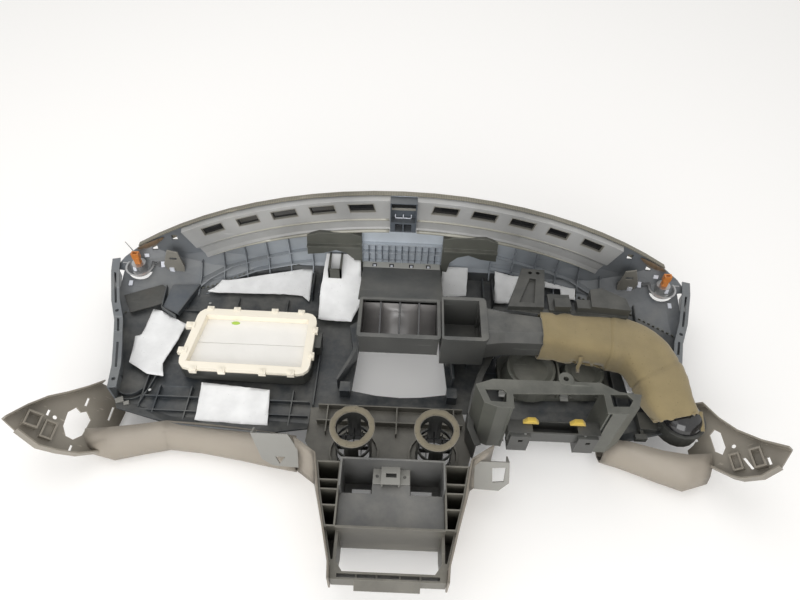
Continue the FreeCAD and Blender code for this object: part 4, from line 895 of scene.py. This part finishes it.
# Fine ribs of the grid between the arches, and the pale flange below it with its four clips
grid = {"half": 88, "bays": 12, "front": 247.5, "back": 257.6, "low": 114, "high": 167, "wall": 1.3}
ribs = []
for index in range(1, grid["bays"]):
    x = -grid["half"] + 2 * grid["half"] * index / grid["bays"]
    outline = [(x - grid["wall"] / 2, grid["front"]), (x + grid["wall"] / 2, grid["front"]),
               (x + grid["wall"] / 2, grid["back"]), (x - grid["wall"] / 2, grid["back"])]
    ribs.append(prism(outline, grid["low"], grid["high"]))
gather("gridRibs", ribs, "ribLine")
flangeTop = 113.4
gather("ductStrip", [prism([(-86, 229), (86, 229), (86, 250), (-86, 250)], flangeTop,
                           flangeTop + 1.2)], "strip")
clipSpots = (-60, -22, 22, 60)
gather("stripWindows", [prism([(x - 5, 233), (x + 5, 233), (x + 5, 242), (x - 5, 242)], flangeTop + 1.1,
                              flangeTop + 1.6) for x in clipSpots], "gloss")
gather("stripClips",
       [prism([(x - 2.6, 233), (x + 3, 233), (x + 3, 238.6), (x - 2.6, 238.6)], flangeTop + 1.4,
                            flangeTop + 2.2) for x in clipSpots], "clip")

# Sensor box: dark recess with a pale bar under it, a small hook frame and two dark windows
gather("sensorShade", [prism([(-25, 247.2), (25, 247.2), (25, 247.8), (-25, 247.8)], 278, 302),
                       prism([(-17, 247.0), (17, 247.0), (17, 247.7), (-17, 247.7)], 228.5, 241)], "gloss")
gather("sensorBar", [prism([(-25, 246), (25, 246), (25, 247.8), (-25, 247.8)], 271.5, 277)], "rim")
hook = [prism([(x - 0.9, 243.6), (x + 0.9, 243.6), (x + 0.9, 245.2), (x - 0.9, 245.2)], 251.2, 262)
        for x in (-17, -0.5, 16)]
gather("sensorHook",
       hook + [prism([(-17.9, 243.6), (16.9, 243.6), (16.9, 245.2), (-17.9, 245.2)], 251.2, 253.4)],
       "clip")

# Curved inside wall of the wide duct, with dark ribs over its dividers
mouth = {"left": -73.6, "right": 74.6, "dividers": (-38.25, 0.5, 39.25)}
bowl = [(90.6, 160), (84, 144), (72, 131), (56, 123), (36, 119), (7.4, 118)]
points = []
for y, z in bowl:
    points += [spot(mouth["left"], y, z), spot(mouth["right"], y, z)]
bowlFaces = [[2 * index, 2 * index + 1, 2 * index + 3, 2 * index + 2] for index in range(len(bowl) - 1)]
thicken(addPiece("ductLiner", points, bowlFaces, "liner"), 0.0012)
caps = []
for x in mouth["dividers"]:
    points = [spot(x + side, y, z + lift) for lift in (-1, 0.8) for y, z in ((90, 164), (8, 140))
              for side in (-1.9, 1.9)]
    caps.append((points,
                 [[0, 1, 3, 2], [4, 5, 7, 6], [0, 1, 5, 4], [2, 3, 7, 6], [0, 2, 6, 4], [1, 3, 7, 5]]))
gather("dividerCaps", caps, "gloss")

# Fittings in the passenger side's corner
shelf = [(-604, 148), (-530, 183), (-519, 175), (-515, 131), (-576, 101)]
strapOutline = [(-509, 188), (-448, 192), (-476, 105), (-514, 124)]
gather("cornerShelf", [prism(shelf, 76, 79)], "dark")
gather("cornerStrap", [prism(strapOutline, 72, 74)], "strap")
bracket = [prism([(-160, 199), (-156, 199), (-156, 252), (-160, 252)], 96, 134),
           prism([(-135, 199), (-131, 199), (-131, 252), (-135, 252)], 96, 134),
           prism([(-160, 199), (-131, 199), (-131, 203), (-160, 203)], 96, 134)]
gather("pressedBracket", bracket, "olive")
print("stage: linings and corner fittings placed")


def edgePlace(radius, y, degrees):
    # Point on a circle about the axis of the windshield edge's arc.
    turn = math.radians(degrees)
    return spot(radius * math.sin(turn), y, edge["top"] - edge["radius"] + radius * math.cos(turn))


def arcHighlightBar(name, inner, outer, front, back, side, reach, look):
    # Rounded pale bar that follows the windshield edge from the sensor's box to one end, a painted
    # highlight that thins towards that end.
    around, steps = 8, 45
    points = []
    for step in range(steps + 1):
        degrees = side * (edge["boxTurn"] + (reach - edge["boxTurn"]) * step / steps)
        thin = min(1.0, 0.15 + 1.7 * (1 - abs(degrees) / reach))
        for turn in range(around):
            angle = 2 * math.pi * turn / around
            radius = (inner + outer) / 2 + (outer - inner) / 2 * thin * math.cos(angle)
            y = (front + back) / 2 + (back - front) / 2 * thin * math.sin(angle)
            points.append(edgePlace(radius, y, degrees))
    faces = ringFaces(steps + 1, around)
    faces.append(list(range(around))[::-1])
    faces.append([steps * around + turn for turn in range(around)])
    return addPiece(name, points, faces, look)


# Painted highlights on the defroster channel: pale glossy bars along its ridge and its lip.
for side, word in ((-1, "Left"), (1, "Right")):
    arcHighlightBar("channelRidge" + word, edge["radius"] - 59, edge["radius"] - 53, 237.5, 243.0, side, 25.5,
           "ridge")
    arcHighlightBar("channelLip" + word, edge["radius"] - 96, edge["radius"] - 88, 240.5, 247.0, side, 26.0, "ridge")


def turnedPatch(place, normal, size):
    # Points and faces of a small block that lies on a surface.
    out = Vector(normal).normalized()
    side = out.cross(Vector((0, 0, 1) if abs(out.z) < 0.9 else (0, 1, 0))).normalized()
    up = side.cross(out)
    points = []
    for lift in (-1.0, size[2]):
        for a, b in ((-1, -1), (1, -1), (1, 1), (-1, 1)):
            corner = Vector(place) + side * a * size[0] / 2 + up * b * size[1] / 2 + out * lift
            points.append(spot(*corner))
    return points, [[0, 1, 2, 3], [4, 5, 6, 7], [0, 1, 5, 4], [1, 2, 6, 5], [2, 3, 7, 6], [3, 0, 4, 7]]


clipPlaces = [((538, 230, 94.5), (-0.08, -0.69, 0.72), (8, 13, 2)),
              ((516, 221, 88), (0, -1, 0), (10, 13, 2)),
              ((598, 180, 83), (0.02, -0.26, 0.96), (8, 12, 2)),
              ((572, 240, 112), (-0.12, -0.86, 0.49), (10, 8, 2)),
              ((590, 206, 104), (0, -1, 0.2), (7, 10, 4))]
patches = []
for place, normal, size in clipPlaces:
    patches.append(turnedPatch(place, normal, size))
    patches.append(turnedPatch((-place[0], place[1], place[2]), (-normal[0], normal[1], normal[2]), size))
gather("foamClips", patches, "clip")


def makeEdgeFoam(name, side):
    # Lens of brown foam that shows under the end of the covering skin.
    path = [Vector((524, 249, 160)), Vector((545, 247, 147)), Vector((566, 245, 137)),
            Vector((592, 244, 126))]
    around, steps = 12, 24
    points = []
    for step in range(steps + 1):
        along = 3 * step / steps
        index = min(int(along), 2)
        place = path[index].lerp(path[index + 1], along - index)
        swell = math.sin(math.pi * step / steps) ** 0.5 + 0.02
        for turn in range(around):
            angle = 2 * math.pi * turn / around
            lump = 1 + 0.25 * noise.noise(Vector((step * 0.4, turn * 0.5, side)))
            points.append(spot(side * place.x, place.y + 4.0 * swell * lump * math.sin(angle),
                               place.z + 7.0 * swell * lump * math.cos(angle)))
    faces = ringFaces(steps + 1, around)
    faces.append(list(range(around)))
    faces.append([steps * around + turn for turn in range(around)])
    piece = addPiece(name, points, faces, "brownFoam")


makeEdgeFoam("edgeFoamLeft", -1)
makeEdgeFoam("edgeFoamRight", 1)


dome = {"x": 548, "y": -104, "low": 84, "radius": 38.4, "rise": 30, "around": 48, "steps": 12}


def makeDome():
    # Glossy elbow of the duct over the round collar of the side vent.
    around, steps = dome["around"], dome["steps"]
    points = []
    for step in range(steps):
        rise = 0.5 * math.pi * step / steps
        radius = dome["radius"] * math.cos(rise) ** 0.75
        for turn in range(around):
            angle = 2 * math.pi * turn / around
            points.append(spot(dome["x"] + radius * math.cos(angle), dome["y"] + radius * math.sin(angle),
                               dome["low"] + dome["rise"] * math.sin(rise)))
    faces = ringFaces(steps, around)
    faces.append([(steps - 1) * around + turn for turn in range(around)])
    piece = addPiece("outletDome", points, faces, "gloss")
    return thicken(piece, 0.002)


makeDome()


def makeLip(path, low, high, wall):
    # Thin upright lip along a path of millimetre points.
    left, right = [], []
    for index, (x, y) in enumerate(path):
        before = path[max(index - 1, 0)]
        after = path[min(index + 1, len(path) - 1)]
        dx, dy = after[0] - before[0], after[1] - before[1]
        size = math.hypot(dx, dy)
        left.append((x - dy / size * wall / 2, y + dx / size * wall / 2))
        right.append((x + dy / size * wall / 2, y - dx / size * wall / 2))
    return prism(left + right[::-1], low, high)


def turnPath(x, y, radius, start, end):
    # Points of an arc at steps of twelve degrees.
    return [(x + radius * math.cos(math.radians(turn)), y + radius * math.sin(math.radians(turn)))
            for turn in range(start, end, 12)]


bend = turnPath(-527, -58, 30, 150, 331)
wide = turnPath(-527, -58, 40, 170, 341)
lips = [makeLip(bend, 52, 63, 2.0), makeLip(wide, 52, 60, 1.6),
        makeLip([(-483, -37), (-490, -72), (-500, -109)], 52, 61, 1.8),
        makeLip([(-478, 98), (-514, 120), (-520, 182)], 66, 80, 2.2),
        makeLip([(478, 98), (514, 120), (520, 182)], 66, 80, 2.2),
        makeLip([(-449, 190), (-476, 107)], 66, 77, 2.0)]
gather("cornerLips", lips, "face")
gather("looseClip", [prism([(-546, -100), (-533, -94), (-528, -104), (-541, -110)], 58, 64),
                     prism([(-528, -106), (-519, -102), (-516, -109), (-525, -113)], 58, 63)], "lightGrey")
makeStrip("plugTail", [(-585, 217, 146), (-589, 219, 154), (-594, 222, 160), (-600, 226, 166)], 2.0,
          "lightGrey", 0.0012)
dab = []
for turn in range(0, 360, 24):
    uneven = 1 + 0.2 * math.sin(3 * turn)
    dab.append((-346 + 9 * math.cos(math.radians(turn)) * uneven, 84 + 4.5 * math.sin(math.radians(turn))))
gather("paintDab", [prism(dab, 78.6, 79.3)], "green")
print("stage: ridges, clips and lips placed")

# White studio: floor, backdrop and soft lamps
studio = {
    "floorColor": (0.89, 0.875, 0.855, 1),
    "skyColor": (0.965, 0.965, 0.96, 1),
    "fill": 0.74,
    "topLamp": 12.5,
    "sideLamp": 5.0,
    "frontLamp": 38.0,
}


def makeStudio():
    material, tree, shader = newMaterial("studioFloor")
    setInputs(shader, Base_Color=studio["floorColor"], Roughness=0.9, Specular_IOR_Level=0.1)
    path = addNode(tree, "ShaderNodeLightPath")
    seen = addNode(tree, "ShaderNodeMath", operation="MAXIMUM")
    wire(tree, path, "Is Camera Ray", seen, 0)
    wire(tree, path, "Is Glossy Ray", seen, 1)
    lift = addNode(tree, "ShaderNodeMath", operation="MULTIPLY")
    lift.inputs[1].default_value = 0.14
    wire(tree, seen, "Value", lift, 0)
    setInputs(shader, Emission_Color=(1, 1, 1, 1))
    wire(tree, lift, "Value", shader, "Emission Strength")
    mesh = bpy.data.meshes.new("floor")
    half = 9.0
    low = cadBox[0][2] - 0.0005
    mesh.from_pydata([(-half, -half, low), (half, -half, low), (half, half, low), (-half, half, low)], [],
                     [(0, 1, 2, 3)])
    floor = placeObject("floor", mesh)
    mesh.materials.append(material)
    world = bpy.data.worlds.new("studioSky")
    world.use_nodes = True
    bpy.context.scene.world = world
    tree = world.node_tree
    sky = tree.nodes["Background"]
    setInputs(sky, Color=studio["skyColor"])
    path = addNode(tree, "ShaderNodeLightPath")
    seen = addNode(tree, "ShaderNodeMath", operation="MAXIMUM")
    wire(tree, path, "Is Camera Ray", seen, 0)
    wire(tree, path, "Is Transmission Ray", seen, 1)
    level = addNode(tree, "ShaderNodeMapRange")
    setInputs(level, To_Min=studio["fill"], To_Max=1.0)
    wire(tree, seen, "Value", level, "Value")
    wire(tree, level, "Result", sky, "Strength")


def makeLamp(name, place, aim, size, power):
    data = bpy.data.lights.new(name, "AREA")
    data.energy = power
    data.size = size
    lamp = placeObject(name, data)
    direction = Vector(aim) - Vector(place)
    lamp.matrix_world = Matrix.Translation(place) @ direction.to_track_quat("-Z", "Y").to_matrix().to_4x4()


makeStudio()
makeLamp("topLamp", (-0.3, 0.9, 2.4), (0, 0.1, 0), 2.2, studio["topLamp"])
makeLamp("sideLamp", (-1.8, -1.2, 1.8), (0, 0, 0.1), 1.6, studio["sideLamp"])
makeLamp("frontLamp", (-0.3, -2.4, 1.1), (0, 0.2, 0.15), 2.0, studio["frontLamp"])
print("stage: studio lit")
